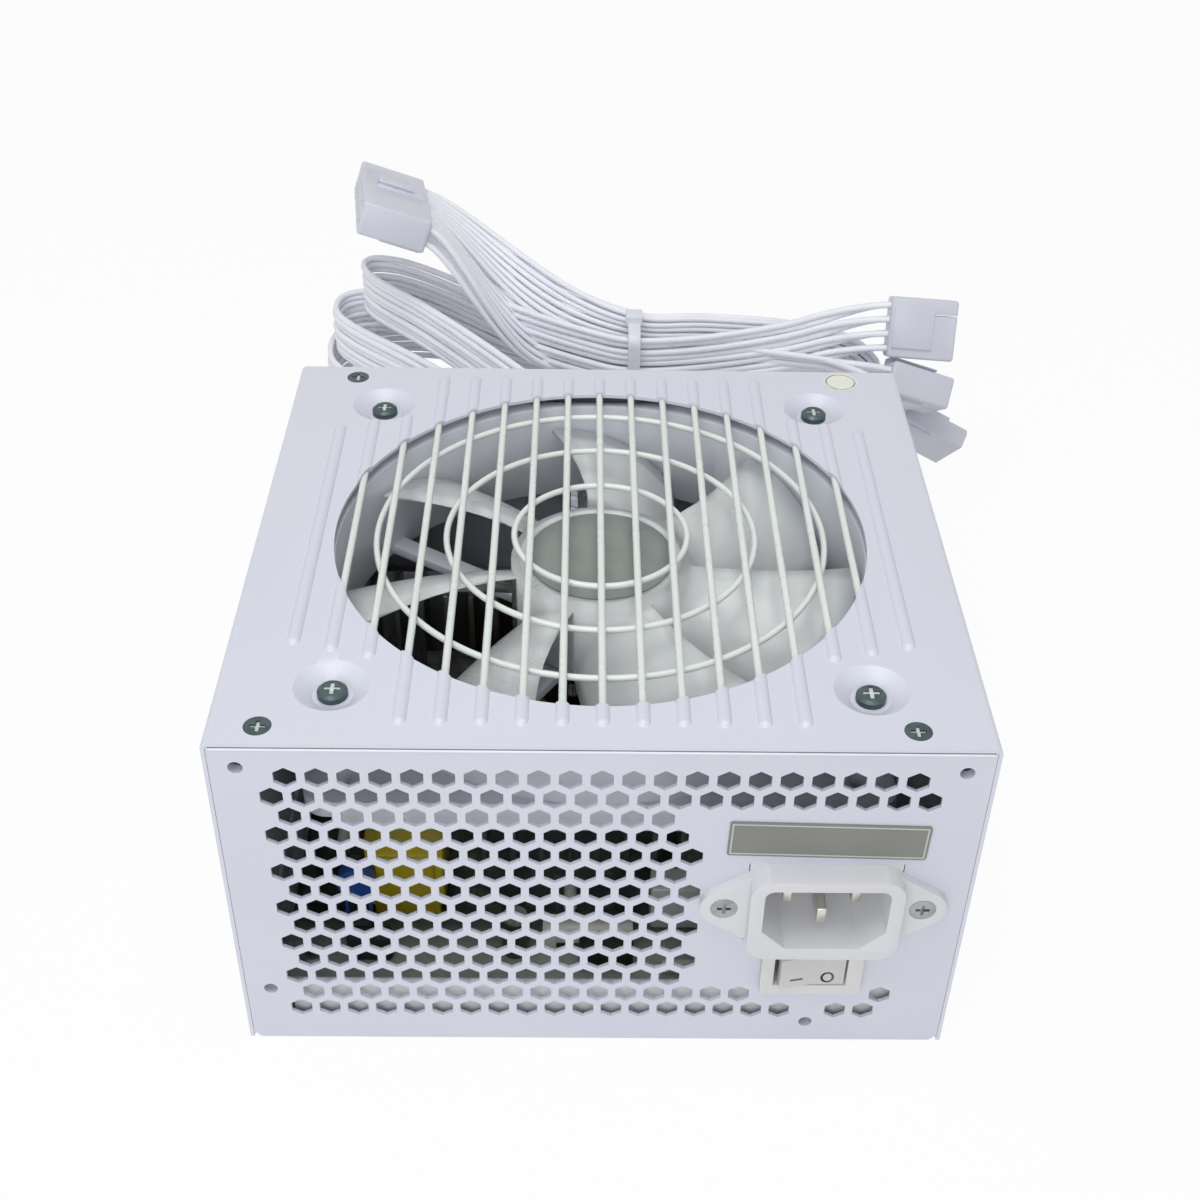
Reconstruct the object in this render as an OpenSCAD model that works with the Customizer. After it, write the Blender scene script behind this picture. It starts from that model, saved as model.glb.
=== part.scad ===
// Desktop computer power supply with a top intake fan and a fixed flat-ribbon harness.
// Origin: centre of the case footprint, on the underside. +Z up, inlet panel towards -Y.

/* [Case] */
// Width of the case across the inlet panel
case_w = 150; // [148:1:160]
// Depth of the case from the inlet panel to the cable panel
case_d = 140; // [138:1:160]
// Height of the case
case_h = 86; // [85:1:95]
// Thickness of the sheet metal
sheet_t = 0.8; // [0.6:0.1:1.0]
// Gap between the cover and the base tray
cover_gap = 0.1; // [0.05:0.05:0.2]
// Inner radius of the cover's long bends
bend_in_r = 0.4; // [0.2:0.1:0.8]
// Depth of the base tray's top flanges
flange_d = 9; // [8:0.5:12]
// Height of the base tray's side lips
lip_h = 8; // [5:1:14]

/* [Cover ribs] */
// Outer radius of an embossed rib
rib_r = 1.55; // [1.4:0.05:1.8]
// Radius of the channel under a rib
channel_r = 0.9; // [0.85:0.05:1.0]
// Height of the channel's axis below the cover's top face
channel_drop = 0.55; // [0.4:0.05:0.6]

/* [Fan] */
// Mean gap between the fan frame and the case's two ends
fan_end_gap = 10; // [8:0.5:14]
// Thickness of the fan's square rim around its air opening
fan_rim = 2; // [1.8:0.1:2.4]
// Distance from the fan's centre line to the case's centre, towards the inlet panel
fan_offset = 0.5; // [0:0.1:1]
// Distance from a fan screw to the edges of the fan frame
fan_screw_edge = 7.5; // [7:0.5:8]
// Depth of the dimples that hold the fan below the cover
dimple_drop = 2.6; // [2.2:0.1:3.0]
// Air gap between the blade tips and the fan frame
blade_gap = 1.5; // [1:0.1:3]
// Number of fan blades
blade_n = 7; // [5:1:9]
// Outer radius of the fan hub
hub_r = 19.8; // [19:0.1:21]
// Radius of the hub's round sticker
hub_sticker_r = 16.1; // [14:0.1:17]

/* [Grille] */
// Radius of the straight grille bars
bar_r = 0.8; // [0.7:0.05:0.8]
// Radius of the grille's ring wires
ring_wire_r = 0.7; // [0.6:0.05:0.8]
// Radius of the inner grille ring
ring_1_r = 19.05; // [16:0.05:22]
// Radius of the middle grille ring
ring_2_r = 33.9; // [30:0.1:38]
// Radius of the outer grille ring
ring_3_r = 49.1; // [44:0.1:52]
// Distance of the rings' centre from the fan's centre, away from the inlet panel
ring_shift = 1.5; // [0:0.1:2]
// Length of each bar that lies in its rib's channel
bar_tail = 2.4; // [2:0.1:2.4]

/* [Vent] */
// Size of a hexagonal vent hole across its flats
vent_af = 4.4; // [3.6:0.1:4.8]
// Distance between neighbouring vent holes in a row
vent_pitch = 6; // [5.6:0.1:6.6]
// Radius of the power supply's mounting holes
atx_hole_r = 1.45; // [1.3:0.05:1.7]

/* [Inlet socket] */
// Distance from the inlet socket's centre to the case's side
inlet_edge = 30; // [29:0.5:31]
// Height of the inlet socket's centre above the middle of the panel
inlet_rise = 1; // [0.5:0.5:2]
// Distance between the inlet's screws
inlet_screw_pitch = 40; // [39:0.5:41]
// Thickness of the inlet's flange
inlet_flange_t = 2; // [1.6:0.1:2.4]
// Distance that the inlet's collar stands out of the flange
inlet_collar_t = 3.5; // [3:0.5:5]
// Depth of the inlet's cavity behind the panel
inlet_depth = 11.5; // [11:0.5:13]

/* [Switch] */
// Distance from the inlet socket's centre down to the rocker switch's centre
switch_drop = 19.1; // [18.6:0.1:19.6]
// Width of the switch bezel
bezel_w = 21.2; // [20.6:0.1:22]
// Height of the switch bezel
bezel_h = 15; // [14.6:0.1:15.4]
// Thickness of the switch bezel
bezel_t = 1.8; // [1.4:0.1:2.2]
// Width of the rocker
rocker_w = 13.7; // [13:0.1:14]
// Height of the rocker
rocker_h = 8.7; // [8:0.1:9]
// Angle of the rocker to each side
rocker_tilt = 6; // [5:1:10]

/* [Rating plate] */
// Width of the bare plate above the inlet
plate_w = 39.5; // [34:0.5:42]
// Height of the bare plate above the inlet
plate_h = 9.2; // [7:0.1:9.6]

/* [Board] */
// Thickness of the circuit board
pcb_t = 1.6; // [1.2:0.1:2]
// Height of the circuit board's standoffs
standoff_h = 5.6; // [4:0.1:6.4]
// Distance from the inlet panel to the board's front edge
pcb_front = 9; // [8:0.5:11]
// Height of the heatsinks above the board
heatsink_h = 42; // [36:1:44]
// Thickness of the heatsinks' plates
heatsink_t = 2.5; // [2:0.1:3]
// Radius of the two large capacitors
bulk_cap_r = 10; // [8:0.5:10.5]
// Height of the two large capacitors
bulk_cap_h = 34; // [28:1:38]
// Width of the main transformer's core
core_w = 34; // [30:1:36]
// Depth of the main transformer's core
core_d = 12; // [10:0.5:14]
// Height of the main transformer's core
core_h = 30; // [26:1:32]
// Thickness of the core's outer limbs
core_limb = 5; // [4:0.5:6]
// Width of the standby transformer
standby_w = 17.3; // [16:0.1:20]
// Height of the standby transformer's core
standby_h = 20; // [16:1:22]
// Gap between the ring choke and its neighbours
choke_gap = 4; // [2:0.5:5]
// Distance between neighbouring output capacitors
out_cap_pitch = 12; // [11:0.5:13]
// Radius of an output capacitor
out_cap_r = 4.9; // [4:0.1:5]

/* [Harness] */
// Distance between neighbouring wires of a ribbon
wire_pitch = 1.75; // [1.6:0.05:1.8]
// Number of wires in each of the three narrow ribbons
ribbon_n = 8; // [6:1:8]
// Distance between contacts in the connectors
contact_pitch = 4.2; // [4.1:0.05:4.25]
// Depth of the connectors from the wire side to the mating side
housing_d = 19.6; // [18:0.2:20]
// Width of the cable tie
tie_w = 3.6; // [2.5:0.1:5]

/* [Hidden] */
$fn = 64;

hw = case_w / 2;
hd = case_d / 2;
in_w = hw - sheet_t - cover_gap;
in_h = case_h - sheet_t - cover_gap;
fan_size = case_d - 2 * fan_end_gap;
fan_t = case_h * 25 / 86;
fan_hole_r = fan_size / 2 - fan_rim;
fan_y = -fan_offset;
fan_z1 = case_h - sheet_t - dimple_drop;
fan_z0 = fan_z1 - fan_t;
fsp = fan_size / 2 - fan_screw_edge;
blade_tip_r = fan_hole_r - blade_gap;
rib_pitch = fsp / 6.8;
channel_z = case_h - channel_drop;
ring_z = channel_z - bar_r - ring_wire_r + 0.15;
rib_max = floor(fan_hole_r / rib_pitch);

// Ends of the rib at place k, counted from the middle rib: [near y, far y]
function rib_ends(k) = abs(k) < 6 ? [-hd + 5.5, hd - 4.5]
    : abs(k) == 6 ? [fan_y - fsp + 8, fan_y + fsp - 5]
    : abs(k) == 7 ? [fan_y - fsp + 10, fan_y + fsp - 7]
    : [fan_y - fsp + 12, fan_y + fsp - 10];

// Cover screws: [x, y]
cover_screws_at = [
    [-hw + 10, -hd + 5.1], [hw - 15.3, -hd + 5.1],
    [-hw + 14.7, hd - 5.1], [hw - 14.5, hd - 5.1]
];
// Mounting holes of the inlet panel: [x, z]
atx_x = hw - 6;
atx_z = case_h - 6;
atx_holes = [[-atx_x, atx_z], [atx_x, atx_z], [-atx_x, atx_z - 64], [atx_x - 24, 6]];

inlet_x = hw - inlet_edge;
inlet_z = case_h / 2 + inlet_rise;
switch_x = inlet_x - 0.4;
switch_z = inlet_z - switch_drop;
pivot_x = switch_x - 0.25;
pivot_y = -hd + 1;
plate_z = inlet_z + 17.8;

pcb_z0 = sheet_t + standoff_h;
pcb_z1 = pcb_z0 + pcb_t;
pcb_w = case_w - 12;
pcb_y0 = -hd + pcb_front;
pcb_y1 = hd - 5;
standoffs_at = [
    [-pcb_w / 2 + 6, pcb_y0 + 6], [pcb_w / 2 - 6, pcb_y0 + 6],
    [-pcb_w / 2 + 6, pcb_y1 - 6], [pcb_w / 2 - 6, pcb_y1 - 6]
];

// Cable window in the cable panel
exit_x = 4;
exit_z = 44;
exit_w = 25;
exit_h = 26;
ribbon_t = wire_pitch;
ribbon_w = ribbon_n * wire_pitch;
atx_w = 12 * wire_pitch;
atx_t = 2 * wire_pitch + 0.4;

// Places and turns of the connectors
pcie_at = [96.3, 141, 60.5];
pcie_turn = [-26, 2, -4];
cpu_at = [94.6, 135.4, 43.5];
cpu_turn = [52, 18, 0];
drive_at = [104, 147, 21];
drive_turn = [38, 24, -12];
atx_at = [-60.6, 158.8, 89.4];
atx_turn = [-11, 20, 4];

// Routes of the four flat cables, from the cable window to the connector
pcie_route = concat([
    [-3, 71, 47], [-4, 84, 50], [-12, 98, 54], [-33, 121, 58], [-52, 143, 59],
    [-66, 158, 59], [-71, 167, 59], [-69, 174, 58], [-60, 174, 57], [-46, 166, 56],
    [-24, 150, 54], [-4, 139, 53], [11, 135, 52], [32, 134, 54], [56, 136, 57],
    [74, 140, 60]
], [pcie_at + turned([1 - housing_d / 2, 0, 0], pcie_turn)]);
pcie_roll = [0, 0, 0, 0, 0, 0, 0, 0, 0, 0, 0, 0, 0, 0, -8, -18, -26];
cpu_route = concat([
    [0, 71, 45], [-1, 84, 44], [-10, 96, 44], [-34, 117, 44], [-56, 139, 44],
    [-74, 156, 44], [-81, 167, 44], [-79, 177, 44], [-68, 178, 45], [-50, 170, 47],
    [-24, 153, 49], [-4, 142, 50], [11, 138, 50], [32, 137, 50], [56, 136, 49],
    [74, 135, 49]
], [cpu_at + turned([1 - housing_d / 2, 0, 0], cpu_turn)]);
cpu_roll = [0, 0, 0, 0, 0, 0, 0, 0, 0, 0, 0, 0, 0, 0, 15, 35, 52];
drive_route = concat([
    [3, 71, 41], [2, 84, 39], [-8, 94, 34], [-34, 114, 30], [-58, 137, 29],
    [-78, 155, 29], [-84, 167, 29], [-82, 180, 30], [-70, 182, 33], [-52, 174, 38],
    [-24, 156, 44], [-4, 145, 47], [11, 141, 48], [32, 141, 46], [56, 143, 40],
    [78, 146, 32]
], [drive_at + turned([-9, 0, 0], drive_turn)]);
drive_roll = [0, 0, 0, 0, 0, 0, 0, 0, 0, 0, 0, 0, 0, 0, 10, 25, 38];
atx_route = concat([
    [9, 71, 44], [9, 83, 38], [3, 96, 26], [-14, 113, 14], [-36, 133, 11], [-60, 150, 11],
    [-77, 162, 11], [-83, 172, 11], [-78, 181, 11], [-62, 180, 11], [-38, 168, 11],
    [-10, 158, 11], [20, 154, 11], [48, 156, 12], [68, 159, 16], [79, 157, 24],
    [81, 152, 34], [72, 149, 44], [54, 147, 49], [32, 146, 51], [11, 145, 52],
    [-8, 149, 60], [-19, 154, 69], [-30, 157, 76], [-41, 159, 82]
], [atx_at + turned([housing_d / 2 - 1, 0, 0], atx_turn)]);
atx_roll = [0, 0, 0, 0, 0, 0, 0, 0, 0, 0, 0, 0, 0, 0, 0, 0, 0, 0, 0, 0, 0, 10, 24, 42, 62, 80];

// ---- helpers -------------------------------------------------------------------

module panel_sheet(y) {
    translate([0, y + sheet_t, 0]) rotate([90, 0, 0]) linear_extrude(sheet_t) children();
}

module along_y(y0, y1) {
    translate([0, y0, 0]) rotate([-90, 0, 0]) linear_extrude(y1 - y0) children();
}

module at_each(points, z) {
    for (p = points) translate([p[0], p[1], z]) children();
}

// Rectangle with round corners, centred
module round_rect(w, h, r) {
    square([w - 2 * r, h], center = true);
    square([w, h - 2 * r], center = true);
    for (sx = [-1, 1], sy = [-1, 1]) translate([sx * (w / 2 - r), sy * (h / 2 - r)]) circle(r);
}

module phillips(size, depth) {
    for (a = [0, 90]) rotate([0, 0, a])
        translate([-size / 2, -size / 8, -depth]) cube([size, size / 4, depth + 1]);
}

function unit(v) = v / norm(v);
function tangent(p, i) = unit(p[min(i + 1, len(p) - 1)] - p[max(i - 1, 0)]);
// Direction across a ribbon's width: upright, turned about the run by a roll angle
function across(t, roll, ref) = let (u = unit(ref - t * (t * ref)))
    u * cos(roll) + cross(t, u) * sin(roll);
// Vector turned about X, then Y, then Z
function turned(v, r) = let (
    p = [v[0], v[1] * cos(r[0]) - v[2] * sin(r[0]), v[1] * sin(r[0]) + v[2] * cos(r[0])],
    q = [p[0] * cos(r[1]) + p[2] * sin(r[1]), p[1], p[2] * cos(r[1]) - p[0] * sin(r[1])]
) [q[0] * cos(r[2]) - q[1] * sin(r[2]), q[0] * sin(r[2]) + q[1] * cos(r[2]), q[2]];

// Section of a flat ribbon: width along its own x, thickness along its own y
function ribbon_section(w, t) = [
    [w / 2, t / 4], [w / 2 - t / 4, t / 2], [-w / 2 + t / 4, t / 2], [-w / 2, t / 4],
    [-w / 2, -t / 4], [-w / 2 + t / 4, -t / 2], [w / 2 - t / 4, -t / 2], [w / 2, -t / 4]
];

// Section carried along a route, one copy at each of its points
module sweep(route, roll, sec, ref = [0, 0, 1]) {
    n = len(route);
    m = len(sec);
    pts = [
        for (i = [0:n - 1]) let (
            tg = tangent(route, i), a = across(tg, roll[i], ref), b = cross(tg, a)
        ) for (s = sec) route[i] + a * s[0] + b * s[1]
    ];
    sides = [
        for (i = [0:n - 2], j = [0:m - 1], h = [0, 1]) let (q = i * m, k = (j + 1) % m)
            h == 0 ? [q + j, q + m + j, q + k] : [q + k, q + m + j, q + m + k]
    ];
    caps = [for (j = [1:m - 2], e = [0, (n - 1) * m]) e == 0 ? [0, j, j + 1] : [e, e + j + 1, e + j]];
    polyhedron(pts, concat(sides, caps), convexity = 6);
}

module ribbon(route, roll, w, t) {
    sweep(route, roll, ribbon_section(w, t));
}

// Bent round lead through its own points
module lead(points, r) {
    sweep(points, [for (p = points) 0], [for (a = [0:45:315]) r * [cos(a), sin(a)]], [1, 0, 0]);
}

// ---- case ----------------------------------------------------------------------

vent_row = vent_pitch * sqrt(3) / 2;
vent_row_n = floor((atx_z - 2.5 - 9) / vent_row) + 1;
vent_col_n = ceil(hw / vent_pitch);
function hex_row_z(i) = atx_z - 2.5 - i * vent_row;
function vent_clear(x, z) = (x < inlet_x - 28.5 || z < plate_z + 2.2 || z > plate_z + 10.2)
    && (x < inlet_x - 25 || z < switch_z - 7.9 || z > plate_z + 10.2)
    && (abs(x - switch_x) > 12.5 || z < switch_z - 12.9 || z > switch_z - 6.9)
    && (norm([x, z] - atx_holes[3]) > 5) && (x < atx_x - 9 || z > 12);

module vent_holes() {
    for (i = [0:vent_row_n - 1], k = [-vent_col_n:vent_col_n])
        let (x = (k + (i % 2) / 2) * vent_pitch, z = hex_row_z(i))
        if (abs(x) < hw - 11 && vent_clear(x, z))
            translate([x, z]) rotate(30) circle(vent_af / sqrt(3), $fn = 6);
}

corner = 1.6;

module inlet_panel_face() {
    difference() {
        polygon([
            [-in_w + corner, 0], [in_w - corner, 0], [in_w, corner], [in_w, in_h], [-in_w, in_h],
            [-in_w, corner]
        ]);
        vent_holes();
        for (p = atx_holes) translate(p) circle(atx_hole_r);
        translate([inlet_x, inlet_z]) square([inlet_body_w + 0.4, inlet_body_h + 0.4], center = true);
        for (s = [-1, 1]) translate([inlet_x + s * inlet_screw_pitch / 2, inlet_z]) circle(1.4);
        translate([switch_x, switch_z])
            square([switch_body_w + 0.3, switch_body_h + 0.3], center = true);
    }
}

module cable_panel_face() {
    difference() {
        translate([-in_w, 0]) square([2 * in_w, in_h]);
        translate([exit_x, exit_z]) round_rect(exit_w, exit_h, 3);
    }
}

module base_tray() color([0.80, 0.82, 0.86]) difference() {
    union() {
        difference() {
            translate([-in_w, -hd, 0]) cube([2 * in_w, case_d, sheet_t]);
            for (s = [-1, 1]) translate([s * in_w, -hd, 0]) rotate(45)
                cube([3 * sqrt(2), 3 * sqrt(2), 4 * sheet_t], center = true);
        }
        panel_sheet(-hd) inlet_panel_face();
        panel_sheet(hd - sheet_t) cable_panel_face();
        for (s = [0, 1]) mirror([0, s, 0]) translate([-in_w + 4, -hd, in_h - sheet_t])
            cube([2 * in_w - 8, flange_d, sheet_t]);
        for (s = [0, 1]) mirror([s, 0, 0]) translate([-in_w, -hd + 3, 0])
            cube([sheet_t, case_d - 6, lip_h]);
        for (p = atx_holes) translate([p[0], -hd + sheet_t / 2, p[1]]) rotate([-90, 0, 0])
            difference() {
                cylinder(r = atx_hole_r + 0.7, h = 1.8);
                translate([0, 0, -1]) cylinder(r = atx_hole_r, h = 4);
            }
    }
    for (p = cover_screws_at) translate([p[0], p[1], in_h - 3]) cylinder(r = 1.5, h = 4);
}

module rib_line(k) {
    e = rib_ends(k);
    translate([k * rib_pitch, 0, channel_z - 0.1]) intersection() {
        union() {
            along_y(e[0] + rib_r, e[1] - rib_r) circle(rib_r);
            for (y = [e[0] + rib_r, e[1] - rib_r]) translate([0, y, 0]) sphere(rib_r);
        }
        translate([-rib_r, e[0], channel_drop + 0.1 - sheet_t]) cube([2 * rib_r, e[1] - e[0], 2 * rib_r]);
    }
}

module channel_line(k) {
    e = rib_ends(k);
    translate([k * rib_pitch, e[0] + rib_r, 0]) {
        translate([0, 0, channel_z]) rotate([-90, 0, 0])
            cylinder(r = channel_r, h = e[1] - e[0] - 2 * rib_r);
        translate([-channel_r, 0, channel_z - sheet_t - 2])
            cube([2 * channel_r, e[1] - e[0] - 2 * rib_r, sheet_t + 2]);
    }
}

// Conical dimple that the fan's corner hangs from
module dimple() {
    rotate_extrude() polygon([
        [2.2, fan_z1], [4.6, fan_z1], [8.2, case_h - sheet_t], [8.2, case_h], [7.5, case_h],
        [4, fan_z1 + sheet_t], [2.2, fan_z1 + sheet_t]
    ]);
}

module cover_section() {
    o = bend_in_r + sheet_t;
    difference() {
        union() {
            translate([-hw, 0]) square([case_w, case_h - o]);
            translate([-hw + o, 0]) square([case_w - 2 * o, case_h]);
            for (s = [-1, 1]) translate([s * (hw - o), case_h - o]) circle(o);
        }
        translate([-hw + sheet_t, -1]) square([case_w - 2 * sheet_t, case_h - o + 1]);
        translate([-hw + o, -1]) square([case_w - 2 * o, case_h - sheet_t + 1]);
        for (s = [-1, 1]) translate([s * (hw - o), case_h - o]) circle(bend_in_r);
    }
}

module cover() color([0.82, 0.84, 0.88]) {
    difference() {
        union() {
            translate([0, hd, 0]) rotate([90, 0, 0]) linear_extrude(case_d) cover_section();
            for (k = [-8:8]) rib_line(k);
        }
        for (k = [-8:8]) channel_line(k);
        translate([0, fan_y, case_h - 5]) cylinder(r = fan_hole_r, h = 10, $fn = 128);
        for (sx = [-1, 1], sy = [-1, 1]) translate([sx * fsp, fan_y + sy * fsp, case_h - 5])
            cylinder(r = 7.9, h = 10);
        for (p = cover_screws_at) translate([p[0], p[1], case_h - 5]) cylinder(r = 2.7, h = 10);
    }
    for (sx = [-1, 1], sy = [-1, 1]) translate([sx * fsp, fan_y + sy * fsp, 0]) dimple();
}

module fan_grille() color([0.84, 0.86, 0.85]) {
    for (k = [-rib_max:rib_max]) let (x = k * rib_pitch, h = sqrt(fan_hole_r * fan_hole_r - x * x) + bar_tail)
        translate([x, fan_y - h, channel_z]) rotate([-90, 0, 0])
            cylinder(r = bar_r, h = 2 * h, $fn = 24);
    for (r = [ring_1_r, ring_2_r, ring_3_r]) translate([0, fan_y + ring_shift, ring_z])
        rotate_extrude($fn = 96) translate([r, 0]) circle(ring_wire_r, $fn = 24);
}

module fan_screws() color([0.30, 0.31, 0.31])
    for (sx = [-1, 1], sy = [-1, 1]) translate([sx * fsp, fan_y + sy * fsp, fan_z1 + sheet_t])
        difference() {
            union() {
                rotate_extrude() polygon([[0, -10], [2, -10], [2, 0], [3, 0], [3, 1.2], [2.4, 1.8], [0, 2]]);
            }
            translate([0, 0, 2]) phillips(3.4, 1.2);
        }

module cover_screws() color([0.72, 0.74, 0.76])
    at_each(cover_screws_at, in_h) difference() {
        union() {
            cylinder(r = 2.6, h = sheet_t + cover_gap);
            translate([0, 0, -6]) cylinder(r = 1.4, h = 6.1);
        }
        translate([0, 0, sheet_t + cover_gap]) phillips(3, 0.5);
    }

module seal_sticker() color([0.93, 0.93, 0.86])
    translate([cover_screws_at[3][0], cover_screws_at[3][1], case_h]) cylinder(r = 4.3, h = 0.2);

module rating_plate() color([0.50, 0.50, 0.47])
    translate([inlet_x - 0.4, -hd, plate_z]) rotate([90, -1.5, 0])
        linear_extrude(0.4) round_rect(plate_w, plate_h, 0.6);

// ---- inlet socket ----------------------------------------------------------------

inlet_body_w = 30.5;
inlet_body_h = 22.3;
cav_w = 25;
cav_h = 16.7;

// Point where the line from p touches a circle about c, on the side s
function touch(p, c, r, s) = let (v = c - p, d = norm(v), a = atan2(v[1], v[0]), b = asin(r / d))
    p + sqrt(d * d - r * r) * [cos(a + s * b), sin(a + s * b)];

module inlet_flange_face() {
    tip = 4.9;
    c = inlet_screw_pitch / 2;
    t = inlet_body_h / 2;
    polygon([
        [-12, t], touch([-12, t], [-c, 0], tip, -1), [-c, 0], touch([-12, -t], [-c, 0], tip, 1),
        [-12, -t], [12, -t], touch([12, -t], [c, 0], tip, -1), [c, 0],
        touch([12, t], [c, 0], tip, 1), [12, t]
    ]);
    for (s = [-1, 1]) translate([s * c, 0]) circle(tip);
}

// Collar outline, with wide round corners
module collar_face() {
    w = inlet_body_w / 2;
    h = inlet_body_h / 2;
    for (s = [-1, 1], t = [-1, 1]) translate([s * (w - 4.2), t * (h - 4.2)]) circle(4.2);
    square([2 * w, 2 * h - 8.4], center = true);
    square([2 * w - 8.4, 2 * h], center = true);
}

module cavity_face() {
    w = cav_w / 2;
    h = cav_h / 2;
    translate([0, 0.45]) {
        polygon([
            [-w + 5, -h], [w - 5, -h], [w, -h + 5], [w, h - 2], [w - 2, h - 2], [w - 2, h],
            [-w + 2, h], [-w + 2, h - 2], [-w, h - 2], [-w, -h + 5]
        ]);
        for (s = [-1, 1]) translate([s * (w - 2), h - 2]) circle(2);
    }
}

module inlet_front(depth) {
    translate([inlet_x, -hd, inlet_z]) rotate([90, 0, 0]) linear_extrude(depth) children();
}

module inlet_socket() color([0.86, 0.86, 0.84]) difference() {
    union() {
        inlet_front(inlet_flange_t) inlet_flange_face();
        inlet_front(inlet_flange_t + inlet_collar_t) collar_face();
        translate([inlet_x - inlet_body_w / 2, -hd, inlet_z - inlet_body_h / 2])
            cube([inlet_body_w, inlet_depth + 3, inlet_body_h]);
    }
    translate([inlet_x, -hd + inlet_depth, inlet_z]) rotate([90, 0, 0])
        linear_extrude(inlet_depth + inlet_flange_t + inlet_collar_t + 1) cavity_face();
    for (p = pins_at) translate([inlet_x + p[0] - 1, -hd, inlet_z + p[1] - 2])
        cube([2, inlet_depth + 10, 4]);
    for (s = [-1, 1]) translate([inlet_x + s * inlet_screw_pitch / 2, -hd - inlet_flange_t, inlet_z])
        rotate([-90, 0, 0]) {
            translate([0, 0, -0.01]) cylinder(r = 1.7, h = inlet_flange_t + 1);
            translate([0, 0, -0.01]) cylinder(r1 = 2.8, r2 = 1.7, h = 1.2);
        }
}

// Contact blades: [x, z] from the socket's centre, and how far each stands back from the panel
pins_at = [[-7, 1, 1], [7, 1, 1], [0, -3, -1]];

module inlet_pins() color([0.78, 0.76, 0.70])
    for (p = pins_at) translate([inlet_x + p[0] - 1, -hd + p[2], inlet_z + p[1] - 2])
        cube([2, inlet_depth + 10 - p[2], 4]);

module inlet_screws() color([0.62, 0.64, 0.66])
    for (s = [-1, 1]) translate([inlet_x + s * inlet_screw_pitch / 2, -hd - inlet_flange_t, inlet_z])
        rotate([-90, 0, 0]) difference() {
            rotate_extrude() polygon([
                [0, 0], [2.7, 0], [1.6, 1.15], [1.35, 1.15],
                [1.35, inlet_flange_t + sheet_t + 4], [0, inlet_flange_t + sheet_t + 4]
            ]);
            rotate([180, 0, 0]) phillips(2.8, 0.8);
        }

// ---- switch ----------------------------------------------------------------------

switch_body_w = 18.3;
switch_body_h = 12.6;
rocker_gap = 0.8;
pivot_r = 1;

module switch_bezel() color([0.87, 0.87, 0.83]) difference() {
    union() {
        translate([switch_x - bezel_w / 2, -hd - bezel_t, switch_z - bezel_h / 2])
            cube([bezel_w, bezel_t, bezel_h]);
        translate([switch_x - switch_body_w / 2, -hd - bezel_t / 2, switch_z - switch_body_h / 2])
            cube([switch_body_w, 17 + bezel_t / 2, switch_body_h]);
    }
    translate([pivot_x - rocker_w / 2 - rocker_gap, -hd - bezel_t - 1, switch_z - rocker_h / 2 - 0.4])
        cube([rocker_w + 2 * rocker_gap, bezel_t + 11, rocker_h + 0.8]);
    translate([pivot_x, pivot_y, switch_z]) cylinder(r = pivot_r + 0.05, h = rocker_h + 2.6, center = true);
    for (p = terminals_at) translate([pivot_x + p - 2.4, -hd + 8, switch_z - 0.4]) cube([4.8, 12, 0.8]);
}

terminals_at = [-4.2, 4.2];

module switch_terminals() color([0.80, 0.78, 0.72])
    for (p = terminals_at) translate([pivot_x + p - 2.4, -hd + 9.4, switch_z - 0.4])
        cube([4.8, 14.6, 0.8]);

// Rocker in its rest place: the right half pressed in
module switch_rocker() color([0.89, 0.89, 0.86])
    translate([pivot_x, pivot_y, switch_z]) rotate([0, 0, rocker_tilt]) {
        translate([0, 0, -rocker_h / 2]) linear_extrude(rocker_h) polygon([
            [-rocker_w / 2, -3.4], [0, -2.8], [rocker_w / 2, -3.4], [rocker_w / 2, -1],
            [4, 2.4], [-4, 2.4], [-rocker_w / 2, -1]
        ]);
        cylinder(r = pivot_r, h = rocker_h + 2.4, center = true);
    }

// ---- fan -------------------------------------------------------------------------

module fan_flange(z, h) {
    translate([0, fan_y, z]) linear_extrude(h) difference() {
        round_rect(fan_size, fan_size, 5);
        circle(fan_hole_r, $fn = 128);
        for (sx = [-1, 1], sy = [-1, 1]) translate([sx * fsp, sy * fsp]) circle(2.15);
    }
}

motor_r = 17;

module fan_frame() color([0.62, 0.64, 0.66]) {
    fan_flange(fan_z0, 4);
    fan_flange(fan_z1 - 4, 4);
    translate([0, fan_y, fan_z0 + 3.9]) difference() {
        cylinder(r = fan_size / 2, h = fan_t - 7.8, $fn = 128);
        translate([0, 0, -1]) cylinder(r = fan_hole_r, h = fan_t, $fn = 128);
    }
    translate([0, fan_y, fan_z0]) difference() {
        union() {
            cylinder(r = motor_r, h = 2.4);
            for (a = [45:90:315]) rotate([0, 0, a + 12]) translate([motor_r - 1.5, -2.2, 0])
                cube([fan_hole_r - motor_r + 2, 4.4, 2.2]);
            cylinder(r = 4.4, h = 12);
        }
        translate([0, 0, 1]) cylinder(r = 3.2, h = 12);
    }
}

// Point of a blade: u runs from the leading to the trailing edge, v from the hub to the tip
blade_root_r = hub_r - 0.5;
function blade_r(v) = blade_root_r + (blade_tip_r - blade_root_r) * v;
function blade_pitch(v) = 45 - 19 * v;
function blade_chord(v) = 24 + 10 * v;
function blade_point(u, v, side) = let (
    r = blade_r(v), c = blade_chord(v), p = blade_pitch(v),
    s = (u - 0.5) * c, camber = 0.10 * c * (1 - 4 * (u - 0.5) * (u - 0.5)),
    half = 0.35 + 0.45 * (1 - pow(abs(2 * u - 1), 3)),
    d = s * cos(p) - (camber + side * half) * sin(p),
    z = s * sin(p) + (camber + side * half) * cos(p),
    a = d / r * 180 / PI + 14 * v
) [r * cos(a), r * sin(a), z];

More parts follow.
